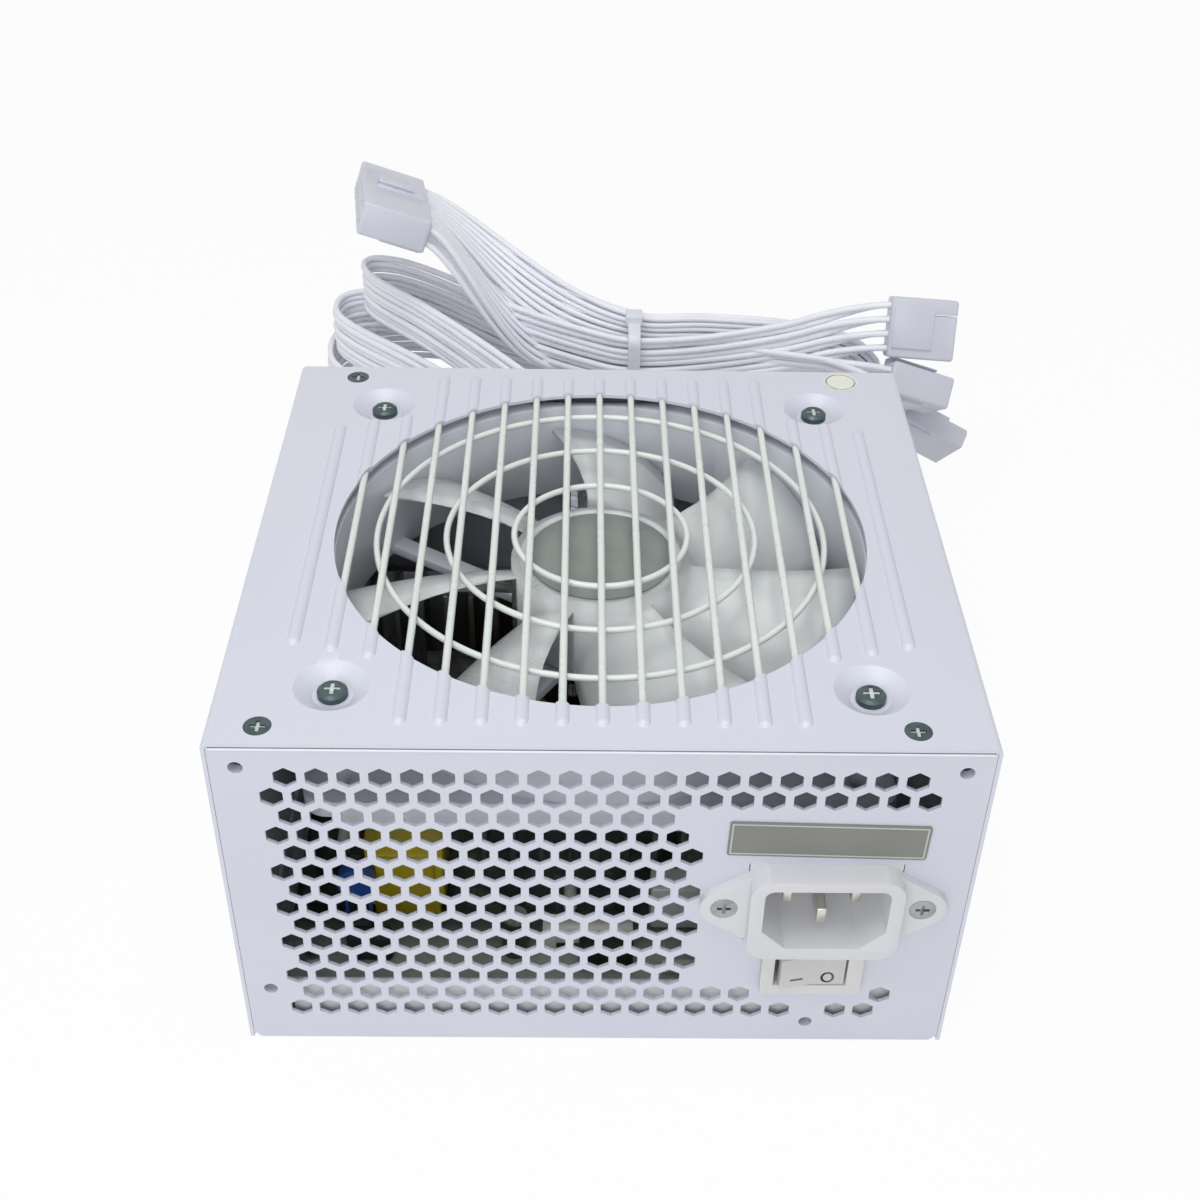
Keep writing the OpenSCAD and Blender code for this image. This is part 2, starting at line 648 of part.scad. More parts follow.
module blade() {
    nu = 8;
    nv = 6;
    row = nu + 1;
    layer = row * (nv + 1);
    pts = [
        for (side = [1, -1], j = [0:nv], i = [0:nu]) blade_point(i / nu, j / nv, side)
    ];
    top = [
        for (j = [0:nv - 1], i = [0:nu - 1], h = [0, 1]) let (q = j * row + i)
            h == 0 ? [q, q + row, q + 1] : [q + 1, q + row, q + row + 1]
    ];
    under = [for (f = top) [f[0] + layer, f[2] + layer, f[1] + layer]];
    ends = [
        for (i = [0:nu - 1], e = [0, nv], h = [0, 1]) let (q = e * row + i, w = q + layer)
            e == 0 ? (h == 0 ? [q, q + 1, w] : [q + 1, w + 1, w])
                : (h == 0 ? [q, w, q + 1] : [q + 1, w, w + 1])
    ];
    edges = [
        for (j = [0:nv - 1], e = [0, nu], h = [0, 1]) let (q = j * row + e, w = q + layer)
            e == 0 ? (h == 0 ? [q, w, q + row] : [q + row, w, w + row])
                : (h == 0 ? [q, q + row, w] : [q + row, w + row, w])
    ];
    polyhedron(pts, [for (f = concat(top, under, ends, edges)) [f[2], f[1], f[0]]], convexity = 6);
}

hub_z0 = fan_z0 + 4;
hub_z1 = fan_z1 - 3.1;
hub_mid = (hub_z0 + hub_z1) / 2;

module fan_impeller() color([0.87, 0.88, 0.89]) {
    translate([0, fan_y, 0]) rotate_extrude($fn = 96) polygon([
        [1.5, hub_z1 - 1.7], [1.5, hub_z1 - 0.2], [hub_sticker_r + 0.3, hub_z1 - 0.2],
        [hub_sticker_r + 0.3, hub_z1], [hub_r - 1.6, hub_z1], [hub_r - 1.6, hub_z1 - 0.8],
        [hub_r, hub_z1 - 0.8], [hub_r, hub_z0], [hub_r - 1.4, hub_z0], [hub_r - 1.4, hub_z1 - 1.7]
    ]);
    for (i = [0:blade_n - 1])
        translate([0, fan_y, hub_mid - 0.8]) rotate([0, 0, blade_phase + i * 360 / blade_n])
        blade();
}
blade_phase = 21;

module fan_sticker() color([0.66, 0.69, 0.66])
    translate([0, fan_y, hub_z1 - 0.2]) cylinder(r = hub_sticker_r, h = 0.2);

module fan_shaft() color([0.75, 0.76, 0.78])
    translate([0, fan_y, fan_z0 + 1.4]) cylinder(r = 1.5, h = hub_z1 - 0.2 - fan_z0 - 1.4, $fn = 48);

module fan_bearing() color([0.70, 0.58, 0.36])
    translate([0, fan_y, fan_z0 + 1]) difference() {
        cylinder(r = 3.2, h = 11);
        translate([0, 0, -1]) cylinder(r = 1.54, h = 14, $fn = 48);
    }

module fan_magnet() color([0.25, 0.25, 0.27])
    translate([0, fan_y, hub_z0 + 1]) difference() {
        cylinder(r = hub_r - 1.4, h = 12, $fn = 96);
        translate([0, 0, -1]) cylinder(r = hub_r - 3, h = 14, $fn = 96);
    }

module fan_stator() color([0.60, 0.40, 0.20])
    translate([0, fan_y, fan_z0 + 2.4]) {
        difference() {
            cylinder(r = 15, h = 1);
            translate([0, 0, -1]) cylinder(r = 4.4, h = 3);
        }
        for (i = [0:3]) rotate([0, 0, 45 + 90 * i]) difference() {
            intersection() {
                translate([5, -9, 1]) cube([20, 18, 9]);
                cylinder(r = hub_r - 3.6, h = 12);
            }
            for (s = [-1, 1]) translate([8, s * 8 - 3.5, 0]) cube([4.5, 7, 12]);
        }
        difference() {
            translate([0, 0, 1]) cylinder(r = 6.4, h = 9);
            cylinder(r = 4.4, h = 14);
        }
    }

// ---- board and parts ---------------------------------------------------------------

module main_pcb() color([0.26, 0.34, 0.18]) difference() {
    translate([-pcb_w / 2, pcb_y0, pcb_z0]) cube([pcb_w, pcb_y1 - pcb_y0, pcb_t]);
    for (p = standoffs_at) translate([p[0], p[1], pcb_z0 - 1]) cylinder(r = 1.7, h = pcb_t + 2);
    for (h = [[hs1_x, hs1_y, hs1_len], [hs2_x, hs2_y, hs2_len]], s = leg_places)
        translate([h[0] + h[2] * s - slot_gap, h[1] - slot_gap, pcb_z0 - 1])
            cube([leg_w + 2 * slot_gap, heatsink_t + 2 * slot_gap, pcb_t + 2]);
}

module pcb_standoffs() color([0.72, 0.70, 0.60])
    at_each(standoffs_at, sheet_t) difference() {
        cylinder(r = 3, h = standoff_h, $fn = 6);
        translate([0, 0, 1]) cylinder(r = 1.3, h = standoff_h);
    }

module pcb_screws() color([0.75, 0.76, 0.78])
    at_each(standoffs_at, pcb_z1) difference() {
        rotate_extrude() polygon([
            [0, -pcb_t - 3], [1.25, -pcb_t - 3], [1.25, 0], [2.8, 0], [2.8, 1], [2.2, 1.8], [0, 1.8]
        ]);
        translate([0, 0, 1.8]) phillips(3, 1);
    }

// Film on the case floor, with its front edge folded up behind the lowest vent holes
module insulation_sheet() color([0.93, 0.94, 0.95]) difference() {
    union() {
        translate([-in_w + 3, -hd + 2.4, sheet_t]) cube([2 * in_w - 6, case_d - 4.8, 0.3]);
        translate([-in_w + 9, -hd + 2.4, sheet_t]) cube([2 * in_w - 18, 0.3, 15.8]);
    }
    for (p = standoffs_at) translate([p[0], p[1], 0]) cylinder(r = 3.6, h = 4);
    for (p = atx_holes) translate([p[0], -hd, p[1]]) rotate([-90, 0, 0]) cylinder(r = 3, h = 4);
}

// Upright plate with folded fingers along its top, running along X
module heatsink(len, fin_n, fin_d) {
    translate([0, 0, 0]) cube([len, heatsink_t, heatsink_h]);
    p = (len - heatsink_t * 0.6) / (fin_n - 1);
    for (i = [0:fin_n - 1]) translate([i * p, -fin_d, heatsink_h * 0.3])
        cube([heatsink_t * 0.6, fin_d + 0.5, heatsink_h * 0.7]);
    for (s = leg_places) translate([len * s, 0, -pcb_t - 1]) cube([leg_w, heatsink_t, pcb_t + 1.5]);
}

// Legs of a heatsink, as shares of its length, and their slots in the board
leg_places = [0.12, 0.84];
leg_w = 2;
slot_gap = 0.1;
hs1_x = -26;
hs1_y = -26;
hs1_len = 46;
hs2_x = -pcb_w / 2 + 7;
hs2_y = 32;
hs2_len = pcb_w - 88;

module heatsink_primary() color([0.80, 0.81, 0.82])
    translate([hs1_x, hs1_y, pcb_z1]) heatsink(hs1_len, 8, 12);

module heatsink_secondary() color([0.80, 0.81, 0.82])
    translate([hs2_x, hs2_y, pcb_z1]) heatsink(hs2_len, 9, 10);

// Package with its tab screwed to a heatsink plate, legs in the board
module transistor() {
    translate([-5, 0, 6]) cube([10, 4.4, 9.5]);
    translate([-5, 0, 15]) cube([10, 1.3, 6]);
    for (x = [-2.54, 0, 2.54]) translate([x - 0.4, 1.8, 0]) cube([0.8, 0.6, 6.5]);
}

module power_transistors() color([0.20, 0.20, 0.21])
    for (s = [0.17, 0.52, 0.83]) translate([hs1_x + hs1_len * s, hs1_y + heatsink_t, pcb_z1]) transistor();

module output_rectifiers() color([0.20, 0.20, 0.21])
    for (s = [0.2, 0.5, 0.8]) translate([hs2_x + hs2_len * s, hs2_y + heatsink_t, pcb_z1]) transistor();

tr_x = -24;
tr_y = 4;

core_win = core_w - 2 * core_limb;
coil_w = core_win - 0.4;
coil_h = core_h - 2 * core_limb - 0.4;
bobbin_h = 10.4;

module transformer_core() color([0.30, 0.29, 0.29])
    translate([tr_x, tr_y, pcb_z1 + bobbin_h - 0.4 - core_limb]) difference() {
        translate([-core_w / 2, -core_d / 2, 0]) cube([core_w, core_d, core_h]);
        translate([-core_win / 2, -core_d, core_limb])
            cube([core_win, 2 * core_d, core_h - 2 * core_limb]);
    }

module transformer_coil() color([0.86, 0.74, 0.30])
    translate([tr_x, tr_y, pcb_z1]) {
        translate([-coil_w / 2, -core_d, bobbin_h - 0.2]) cube([coil_w, 2 * core_d, coil_h]);
        for (s = [-1, 1]) translate([-core_win / 2, s * core_d * 0.8 - 3, 0])
            cube([core_win, 6, bobbin_h]);
    }

standby_x = -pcb_w / 2 + 1.5 * standby_w + 0.3;
standby_y = -36;

module standby_transformer() color([0.85, 0.76, 0.22])
    translate([standby_x, standby_y, pcb_z1]) {
        translate([-standby_w / 2, -standby_w * 0.4, 4]) cube([standby_w, standby_w * 0.8, standby_h]);
        translate([-standby_w * 0.375, -standby_w * 0.46, 4 + standby_h * 0.2])
            cube([standby_w * 0.75, standby_w * 0.92, standby_h * 0.6]);
        for (s = [-1, 1]) translate([-standby_w * 0.43, s * standby_w * 0.28 - 1.2, 0])
            cube([standby_w * 0.86, 2.4, 4.2]);
    }

bulk_x = pcb_w / 2 - 29;
bulk_pitch = 24;
bulk_y = 4;

module bulk_capacitors() color([0.16, 0.18, 0.24])
    for (s = [-0.5, 0.5]) translate([bulk_x, bulk_y + s * bulk_pitch, pcb_z1]) difference() {
        rotate_extrude() polygon([
            [0, 0], [bulk_cap_r, 0], [bulk_cap_r, 3], [bulk_cap_r - 0.6, 3.6], [bulk_cap_r, 4.2],
            [bulk_cap_r, bulk_cap_h - 1], [bulk_cap_r - 1, bulk_cap_h], [0, bulk_cap_h]
        ]);
        for (a = [0, 90]) translate([0, 0, bulk_cap_h]) rotate([0, 0, a + 20])
            cube([bulk_cap_r * 1.3, 0.6, 0.6], center = true);
    }

// Output capacitors: a row along the back edge of the board, its two ends set forward
out_cap_y = [40, 40, 42, 42, 42, 40];
out_caps = [for (i = [0:5]) [pcb_w / 2 - 11 - (5 - i) * out_cap_pitch, out_cap_y[i]]];

module output_capacitors() color([0.20, 0.30, 0.24])
    for (p = out_caps) translate([p[0], p[1], pcb_z1]) rotate_extrude() polygon([
        [0, 0], [out_cap_r, 0], [out_cap_r, 1.6], [out_cap_r - 0.4, 2], [out_cap_r, 2.4],
        [out_cap_r, 19.5], [out_cap_r - 0.5, 20], [0, 20]
    ]);

// Ring choke between the transformer and the large capacitors
choke_x0 = tr_x + core_w / 2 + choke_gap;
choke_x1 = bulk_x - bulk_cap_r - choke_gap;
choke_ring_w = 9;
choke_h = 12;
choke_z = choke_h / 2 + 1.4;
choke_r = (choke_x1 - choke_x0 - choke_ring_w) / 2;

module toroid_choke() color([0.76, 0.72, 0.30])
    translate([(choke_x0 + choke_x1) / 2, 14, pcb_z1 + choke_z]) {
        rotate_extrude() translate([choke_r, 0]) round_rect(choke_ring_w, choke_h, 2.4);
        for (a = [30, 150, 270]) rotate([0, 0, a]) translate([choke_r, 0, -choke_z]) cylinder(r = 1, h = 3);
    }

module emi_choke() color([0.60, 0.36, 0.20])
    translate([pcb_w / 2 - 11, -16, pcb_z1]) {
        translate([-7, -9, 0]) cube([14, 18, 3]);
        translate([0, 0, 11.5]) rotate([0, 90, 0]) rotate_extrude() translate([6.4, 0]) round_rect(5, 9, 1.5);
    }

module x_capacitor() color([0.88, 0.74, 0.28])
    translate([12, -46, pcb_z1]) cube([16, 7, 13]);

module y_capacitor() color([0.20, 0.40, 0.72])
    translate([-pcb_w / 2 + 15.8, -45.5, pcb_z1 + 15]) {
        rotate([90, 0, 0]) cylinder(r = 4.2, h = 3, center = true);
        for (s = [-1, 1]) translate([s * 2.6, 0, -15]) cylinder(r = 0.4, h = 13, $fn = 16);
    }

module line_fuse() color([0.85, 0.86, 0.84])
    translate([-12, -50, pcb_z1]) {
        for (x = [0, 17]) translate([x, -3, 0]) cube([3, 6, 6]);
        translate([0, 0, 3.6]) rotate([0, 90, 0]) cylinder(r = 2.6, h = 20);
    }

module cable_grommet() color([0.18, 0.18, 0.19]) {
    g = 0.15;
    translate([exit_x, hd, exit_z]) rotate([-90, 0, 0]) linear_extrude(1.4) difference() {
        round_rect(exit_w + 4, exit_h + 4, 4);
        round_rect(exit_w - 3, exit_h - 3, 2);
    }
    translate([exit_x, hd - 2.4, exit_z]) rotate([-90, 0, 0]) linear_extrude(2.6) difference() {
        round_rect(exit_w - 2 * g, exit_h - 2 * g, 3 - g);
        round_rect(exit_w - 3, exit_h - 3, 2);
    }
}

inlet_back = -hd + inlet_depth + 10;

module inlet_leads() color([0.35, 0.30, 0.28]) {
    lead([[inlet_x - 7, inlet_back, inlet_z + 1], [inlet_x - 7, inlet_back + 4, inlet_z + 1],
        [pivot_x - 4.2, inlet_back + 4, switch_z + 6], [pivot_x - 4.2, inlet_back + 2.6, switch_z]], 1.1);
    lead([[inlet_x + 7, inlet_back, inlet_z + 1], [inlet_x + 7, inlet_back + 4, inlet_z + 1],
        [inlet_x + 12, inlet_back + 4, inlet_z - 14], [inlet_x + 12, inlet_back + 4, pcb_z1]], 1.1);
    lead([[pivot_x + 4.2, -hd + 24, switch_z], [pivot_x + 4.2, -hd + 28, switch_z],
        [pivot_x + 4.2, -hd + 29, pcb_z1]], 1.1);
}

// ---- harness -----------------------------------------------------------------------

module pcie_cable() color([0.84, 0.86, 0.90]) ribbon(pcie_route, pcie_roll, ribbon_w, ribbon_t);

module cpu_cable() color([0.84, 0.86, 0.90]) ribbon(cpu_route, cpu_roll, ribbon_w, ribbon_t);

module drive_cable() color([0.84, 0.86, 0.90]) ribbon(drive_route, drive_roll, ribbon_w, ribbon_t);

module atx_cable() color([0.84, 0.86, 0.90]) ribbon(atx_route, atx_roll, atx_w, atx_t);

// Two-row crimp housing. Contacts open towards +X; the latch is on the +Y side.
module crimp_housing(cols, split) {
    w = cols * contact_pitch + 1;
    d = housing_d;
    h = 2 * contact_pitch + 1.2;
    difference() {
        union() {
            translate([-d / 2, -h / 2, -w / 2]) cube([d, h, w]);
            translate([-d / 2 + 1, h / 2 - 0.1, -3]) cube([d - 5, 2.2, 6]);
            translate([-d / 2 + 1, -h / 2 - 0.8, -w / 2 + 3]) cube([d - 8, 0.9, w - 6]);
        }
        for (i = [0:cols - 1], s = [-1, 1])
            translate([0, s * contact_pitch / 2, (i - (cols - 1) / 2) * contact_pitch])
                translate([d / 2 - 7, 0, 0]) rotate([0, 90, 0]) linear_extrude(8)
                    square([2.7, 2.7], center = true);
        translate([-d / 2 + 5, h / 2 + 0.9, -4]) cube([d - 4, 0.6, 8]);
        translate([d / 2 - 7, -h, -w / 2 + split * contact_pitch + 0.4]) cube([10, 3 * h, 0.4]);
    }
}

module pcie_connector() color([0.85, 0.87, 0.91])
    translate(pcie_at) rotate(pcie_turn) crimp_housing(4, 3);

module cpu_connector() color([0.85, 0.87, 0.91])
    translate(cpu_at) rotate(cpu_turn) crimp_housing(4, 2);

module atx_connector() color([0.85, 0.87, 0.91])
    translate(atx_at) rotate(atx_turn) rotate([90, 0, 180]) crimp_housing(12, 10);

// Four-way drive plug: a D-shaped nose on a wide grip
module drive_connector() color([0.85, 0.87, 0.91])
    translate(drive_at) rotate(drive_turn) difference() {
        union() {
            translate([-10, -3.4, -10.2]) cube([13, 6.8, 20.4]);
            translate([2, 0, 0]) rotate([0, 90, 0]) linear_extrude(8)
                polygon([[-10, -3.4], [10, -3.4], [10, 1.4], [8, 3.4], [-8, 3.4], [-10, 1.4]]);
            for (s = [-1, 1]) translate([-8, s * 3.4 - 0.6, -8]) cube([8, 1.2, 16]);
        }
        for (i = [-1.5:1.5]) translate([4, 0, i * 5.08]) rotate([0, 90, 0]) cylinder(r = 1.6, h = 8);
    }

tie_at = [11, 139.6, 50.5];
tie_in_y = 17;
tie_in_z = 22.4;

module cable_tie() color([0.90, 0.91, 0.93])
    translate(tie_at) rotate([90, 0, 90]) {
        linear_extrude(tie_w, center = true) difference() {
            round_rect(tie_in_y + 2.4, tie_in_z + 2.4, 4.2);
            round_rect(tie_in_y, tie_in_z, 3);
        }
        translate([-2.5, tie_in_z / 2 + 0.6, -tie_w / 2 - 0.6]) cube([5, 3, tie_w + 1.2]);
    }

base_tray();
cover();
fan_grille();
fan_screws();
cover_screws();
seal_sticker();
rating_plate();
inlet_socket();
inlet_pins();
inlet_screws();
switch_bezel();
switch_rocker();
switch_terminals();
fan_frame();
fan_impeller();
fan_sticker();
fan_shaft();
fan_bearing();
fan_magnet();
fan_stator();
main_pcb();
pcb_standoffs();
pcb_screws();
insulation_sheet();
heatsink_primary();
heatsink_secondary();
transformer_core();
transformer_coil();
standby_transformer();
bulk_capacitors();
output_capacitors();
toroid_choke();
emi_choke();
x_capacitor();
y_capacitor();
power_transistors();
output_rectifiers();
line_fuse();
cable_grommet();
inlet_leads();
pcie_cable();
cpu_cable();
drive_cable();
atx_cable();
pcie_connector();
cpu_connector();
drive_connector();
atx_connector();
cable_tie();
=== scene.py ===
"""Desktop power supply unit: finishes, fine pieces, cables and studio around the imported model."""

import sys
import logging
import math
from dataclasses import dataclass, field, replace
from enum import Enum

import bmesh
import bpy
from mathutils import Matrix, Vector


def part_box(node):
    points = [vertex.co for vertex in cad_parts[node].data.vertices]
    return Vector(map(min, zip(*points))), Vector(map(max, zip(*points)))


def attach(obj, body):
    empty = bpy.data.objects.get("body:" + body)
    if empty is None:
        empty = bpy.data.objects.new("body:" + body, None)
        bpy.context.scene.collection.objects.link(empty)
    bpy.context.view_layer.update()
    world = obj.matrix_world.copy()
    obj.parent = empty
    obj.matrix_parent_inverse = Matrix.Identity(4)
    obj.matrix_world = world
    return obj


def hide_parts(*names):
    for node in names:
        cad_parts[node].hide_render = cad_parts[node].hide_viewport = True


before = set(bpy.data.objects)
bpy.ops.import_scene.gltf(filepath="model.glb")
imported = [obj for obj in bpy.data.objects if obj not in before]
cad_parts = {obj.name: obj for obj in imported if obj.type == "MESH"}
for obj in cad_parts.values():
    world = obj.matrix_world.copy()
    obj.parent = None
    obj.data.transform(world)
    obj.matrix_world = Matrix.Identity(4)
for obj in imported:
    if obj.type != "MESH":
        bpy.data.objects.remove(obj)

LOG = logging.getLogger("power_supply")
MM = 0.001  # one millimetre in metres
FLAT_ANGLE = 0.8  # degrees under which neighbouring faces of a copied node are joined

Colour = tuple[float, float, float, float]
Triple = tuple[float, float, float]
Steps = tuple[int, int, int]
Piece = bpy.types.Object
Shape = bmesh.types.BMesh
Tree = bpy.types.NodeTree
Socket = bpy.types.NodeSocket
Term = Socket | float | tuple


def tone(red: int, green: int, blue: int) -> Colour:
    """Turns a colour of 0 to 255 steps into the linear colour that a shader reads.

    Args:
        red, green, blue: Steps of each primary.

    Returns:
        Linear red, green and blue, and full alpha.
    """
    parts = [c / 255.0 for c in (red, green, blue)]
    line = [c / 12.92 if c <= 0.04045 else ((c + 0.055) / 1.055) ** 2.4 for c in parts]
    return (line[0], line[1], line[2], 1.0)


class Body(Enum):
    """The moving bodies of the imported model."""

    CASE = "case"
    ROTOR = "fan_rotor"
    ROCKER = "rocker"


# ---- shader nodes and groups ---------------------------------------------------------------------


def feed(tree: Tree, place: Socket, term: Term) -> None:
    """Links a socket into an input, or sets the input to a plain value.

    Args:
        tree: Node tree of the input.
        place: The input.
        term: A socket or a plain value.
    """
    if isinstance(term, Socket):
        tree.links.new(term, place)
    else:
        place.default_value = term


def add_node(tree: Tree, kind: str, inputs: dict[str | int, Term], out: str | int = 0, **settings) -> Socket:
    """Adds a shader node.

    Args:
        tree: Node tree that gets it.
        kind: Blender's name of the node, without ShaderNode.
        inputs: Sockets or plain values, by the name or the place of the input.
        out: Name or place of the output that is wanted.
        settings: Further settings of the node, which are made before its inputs.

    Returns:
        The wanted output.
    """
    node = tree.nodes.new(f"ShaderNode{kind}")
    for key, value in settings.items():
        setattr(node, key, value)
    for key, term in inputs.items():
        feed(tree, node.inputs[key], term)
    return node.outputs[out]


def math_node(tree: Tree, operation: str, first: Term, second: Term) -> Socket:
    """Result of a Math node on two sockets or numbers."""
    return add_node(tree, "Math", {0: first, 1: second}, operation=operation)


def times(tree: Tree, first: Term, second: Term) -> Socket:
    """Product of two sockets or numbers."""
    return math_node(tree, "MULTIPLY", first, second)


def plus(tree: Tree, first: Term, second: Term) -> Socket:
    """Sum of two sockets or numbers."""
    return math_node(tree, "ADD", first, second)


def noise(tree: Tree, vector: Socket, scale: Term, detail: float) -> Socket:
    """Value of a noise, about 0.5 on average."""
    return add_node(tree, "TexNoise", {"Vector": vector, "Scale": scale, "Detail": detail}, "Fac")


def ramp(tree: Tree, source: Socket, low: float, high: float) -> Socket:
    """Spreads the values between low and high over 0 to 1, with soft ends."""
    return add_node(tree, "MapRange", {"Value": source, "From Min": low, "From Max": high}, "Result",
                    interpolation_type="SMOOTHSTEP")


def mix(tree: Tree, factor: Term, first: Term, second: Term) -> Socket:
    """Mixes two colours."""
    return add_node(tree, "Mix", {"Factor": factor, 6: first, 7: second}, 2, data_type="RGBA")


def place_vector(tree: Tree, stretch: Triple | None = None) -> Socket:
    """Object coordinates, stretched along the axes where that is asked.

    Args:
        tree: Node tree that gets the nodes.
        stretch: Factors along X, Y and Z, or none.

    Returns:
        The vector.
    """
    where = add_node(tree, "TexCoord", {}, "Object")
    if not stretch:
        return where
    return add_node(tree, "Mapping", {"Vector": where, "Scale": stretch}, "Vector")


@dataclass
class GroupMaker:
    """Builds one shader node group with named inputs and outputs."""

    name: str

    def __post_init__(self) -> None:
        """Starts an empty group."""
        self.tree = bpy.data.node_groups.new(self.name, "ShaderNodeTree")
        self.inside = self.tree.nodes.new("NodeGroupInput")
        self.outside = self.tree.nodes.new("NodeGroupOutput")

    def value(self, name: str, start: float) -> Socket:
        """Adds a number input.

        Args:
            name: Name of the input.
            start: Its first value.

        Returns:
            The socket.
        """
        made = self.tree.interface.new_socket(name=name, in_out="INPUT", socket_type="NodeSocketFloat")
        made.default_value = start
        return self.inside.outputs[name]

    def colour(self, name: str) -> Socket:
        """Adds a colour input and returns its socket inside the group."""
        self.tree.interface.new_socket(name=name, in_out="INPUT", socket_type="NodeSocketColor")
        return self.inside.outputs[name]

    def give(self, name: str, kind: str, source: Socket) -> None:
        """Adds an output of the kind Float or Color and feeds it."""
        self.tree.interface.new_socket(name=name, in_out="OUTPUT", socket_type=f"NodeSocket{kind}")
        self.tree.links.new(source, self.outside.inputs[name])


class Groups:
    """The shader groups that several finishes share, each built once."""

    _made: dict[str, Tree] = {}

    @classmethod
    def get(cls, name: str) -> Tree:
        """Gives the named group and builds it first when it is new.

        Args:
            name: Name of the group.

        Returns:
            The group's node tree.
        """
        if name not in cls._made:
            kit = GroupMaker(name)
            getattr(cls, f"_build_{name}")(kit, kit.tree)
            cls._made[name] = kit.tree
        return cls._made[name]

    @staticmethod
    def _build_tint_drift(kit: GroupMaker, tree: Tree) -> None:
        """Slow change between a base colour and a second one, with fine speckle.

        Args:
            kit: Maker of the group.
            tree: The group's node tree.
        """
        base, other = kit.colour("Base"), kit.colour("Other")
        scale, amount = kit.value("Scale", 30.0), kit.value("Amount", 0.5)
        where = place_vector(tree)
        slow = ramp(tree, noise(tree, where, scale, 3.0), 0.35, 0.68)
        fine = noise(tree, where, times(tree, scale, 14.0), 1.0)
        both = plus(tree, times(tree, slow, 0.75), times(tree, fine, 0.25))
        kit.give("Colour", "Color", mix(tree, times(tree, both, amount), base, other))

    @staticmethod
    def _build_handling(kit: GroupMaker, tree: Tree) -> None:
        """Patches where a surface has been handled, as a roughness that drifts.

        Args:
            kit: Maker of the group.
            tree: The group's node tree.
        """
        rough, amount = kit.value("Roughness", 0.4), kit.value("Amount", 0.1)
        scale = kit.value("Scale", 25.0)
        where = place_vector(tree)
        wide = ramp(tree, noise(tree, where, scale, 4.0), 0.3, 0.7)
        fine = noise(tree, where, times(tree, scale, 9.0), 2.0)
        patch = math_node(tree, "SUBTRACT", times(tree, wide, fine), 0.25)
        kit.give("Roughness", "Float", plus(tree, rough, times(tree, patch, amount)))

    @staticmethod
    def _build_grain(kit: GroupMaker, tree: Tree) -> None:
        """Height of a fine even grain over a longer ripple.

        Args:
            kit: Maker of the group.
            tree: The group's node tree.
        """
        scale, ripple = kit.value("Scale", 1500.0), kit.value("Ripple", 0.3)
        where = place_vector(tree)
        fine = noise(tree, where, scale, 1.0)
        wide = noise(tree, where, times(tree, scale, 0.08), 1.0)
        kit.give("Height", "Float", plus(tree, fine, times(tree, wide, ripple)))

    @staticmethod
    def _build_dust(kit: GroupMaker, tree: Tree) -> None:
        """Mask of the thin dust on upward faces.

        Args:
            kit: Maker of the group.
            tree: The group's node tree.
        """
        amount = kit.value("Amount", 0.3)
        normal = add_node(tree, "TexCoord", {}, "Normal")
        up = ramp(tree, add_node(tree, "SeparateXYZ", {0: normal}, "Z"), 0.35, 1.0)
        patches = ramp(tree, noise(tree, place_vector(tree), 160.0, 5.0), 0.3, 0.75)
        kit.give("Mask", "Float", times(tree, times(tree, up, patches), amount))

    @staticmethod
    def _build_streaks(kit: GroupMaker, tree: Tree) -> None:
        """Drawn or brushed lines along one axis, as a mask and a height.

        Args:
            kit: Maker of the group.
            tree: The group's node tree.
        """
        scale = kit.value("Scale", 900.0)
        lines = noise(tree, place_vector(tree, (1.0, 0.04, 1.0)), scale, 3.0)
        kit.give("Mask", "Float", ramp(tree, lines, 0.3, 0.7))
        kit.give("Height", "Float", lines)


def use_group(tree: Tree, name: str, out: str, **values) -> Socket:
    """Places a shared group in a material.

    Args:
        tree: The material's node tree.
        name: Name of the shared group.
        out: Name of the output that is wanted.
        values: Input values, with the input's name as the keyword.

    Returns:
        The wanted output.
    """
    return add_node(tree, "Group", values, out, node_tree=Groups.get(name))


# ---- finishes ------------------------------------------------------------------------------------

DUST_TONE = (186, 184, 178)


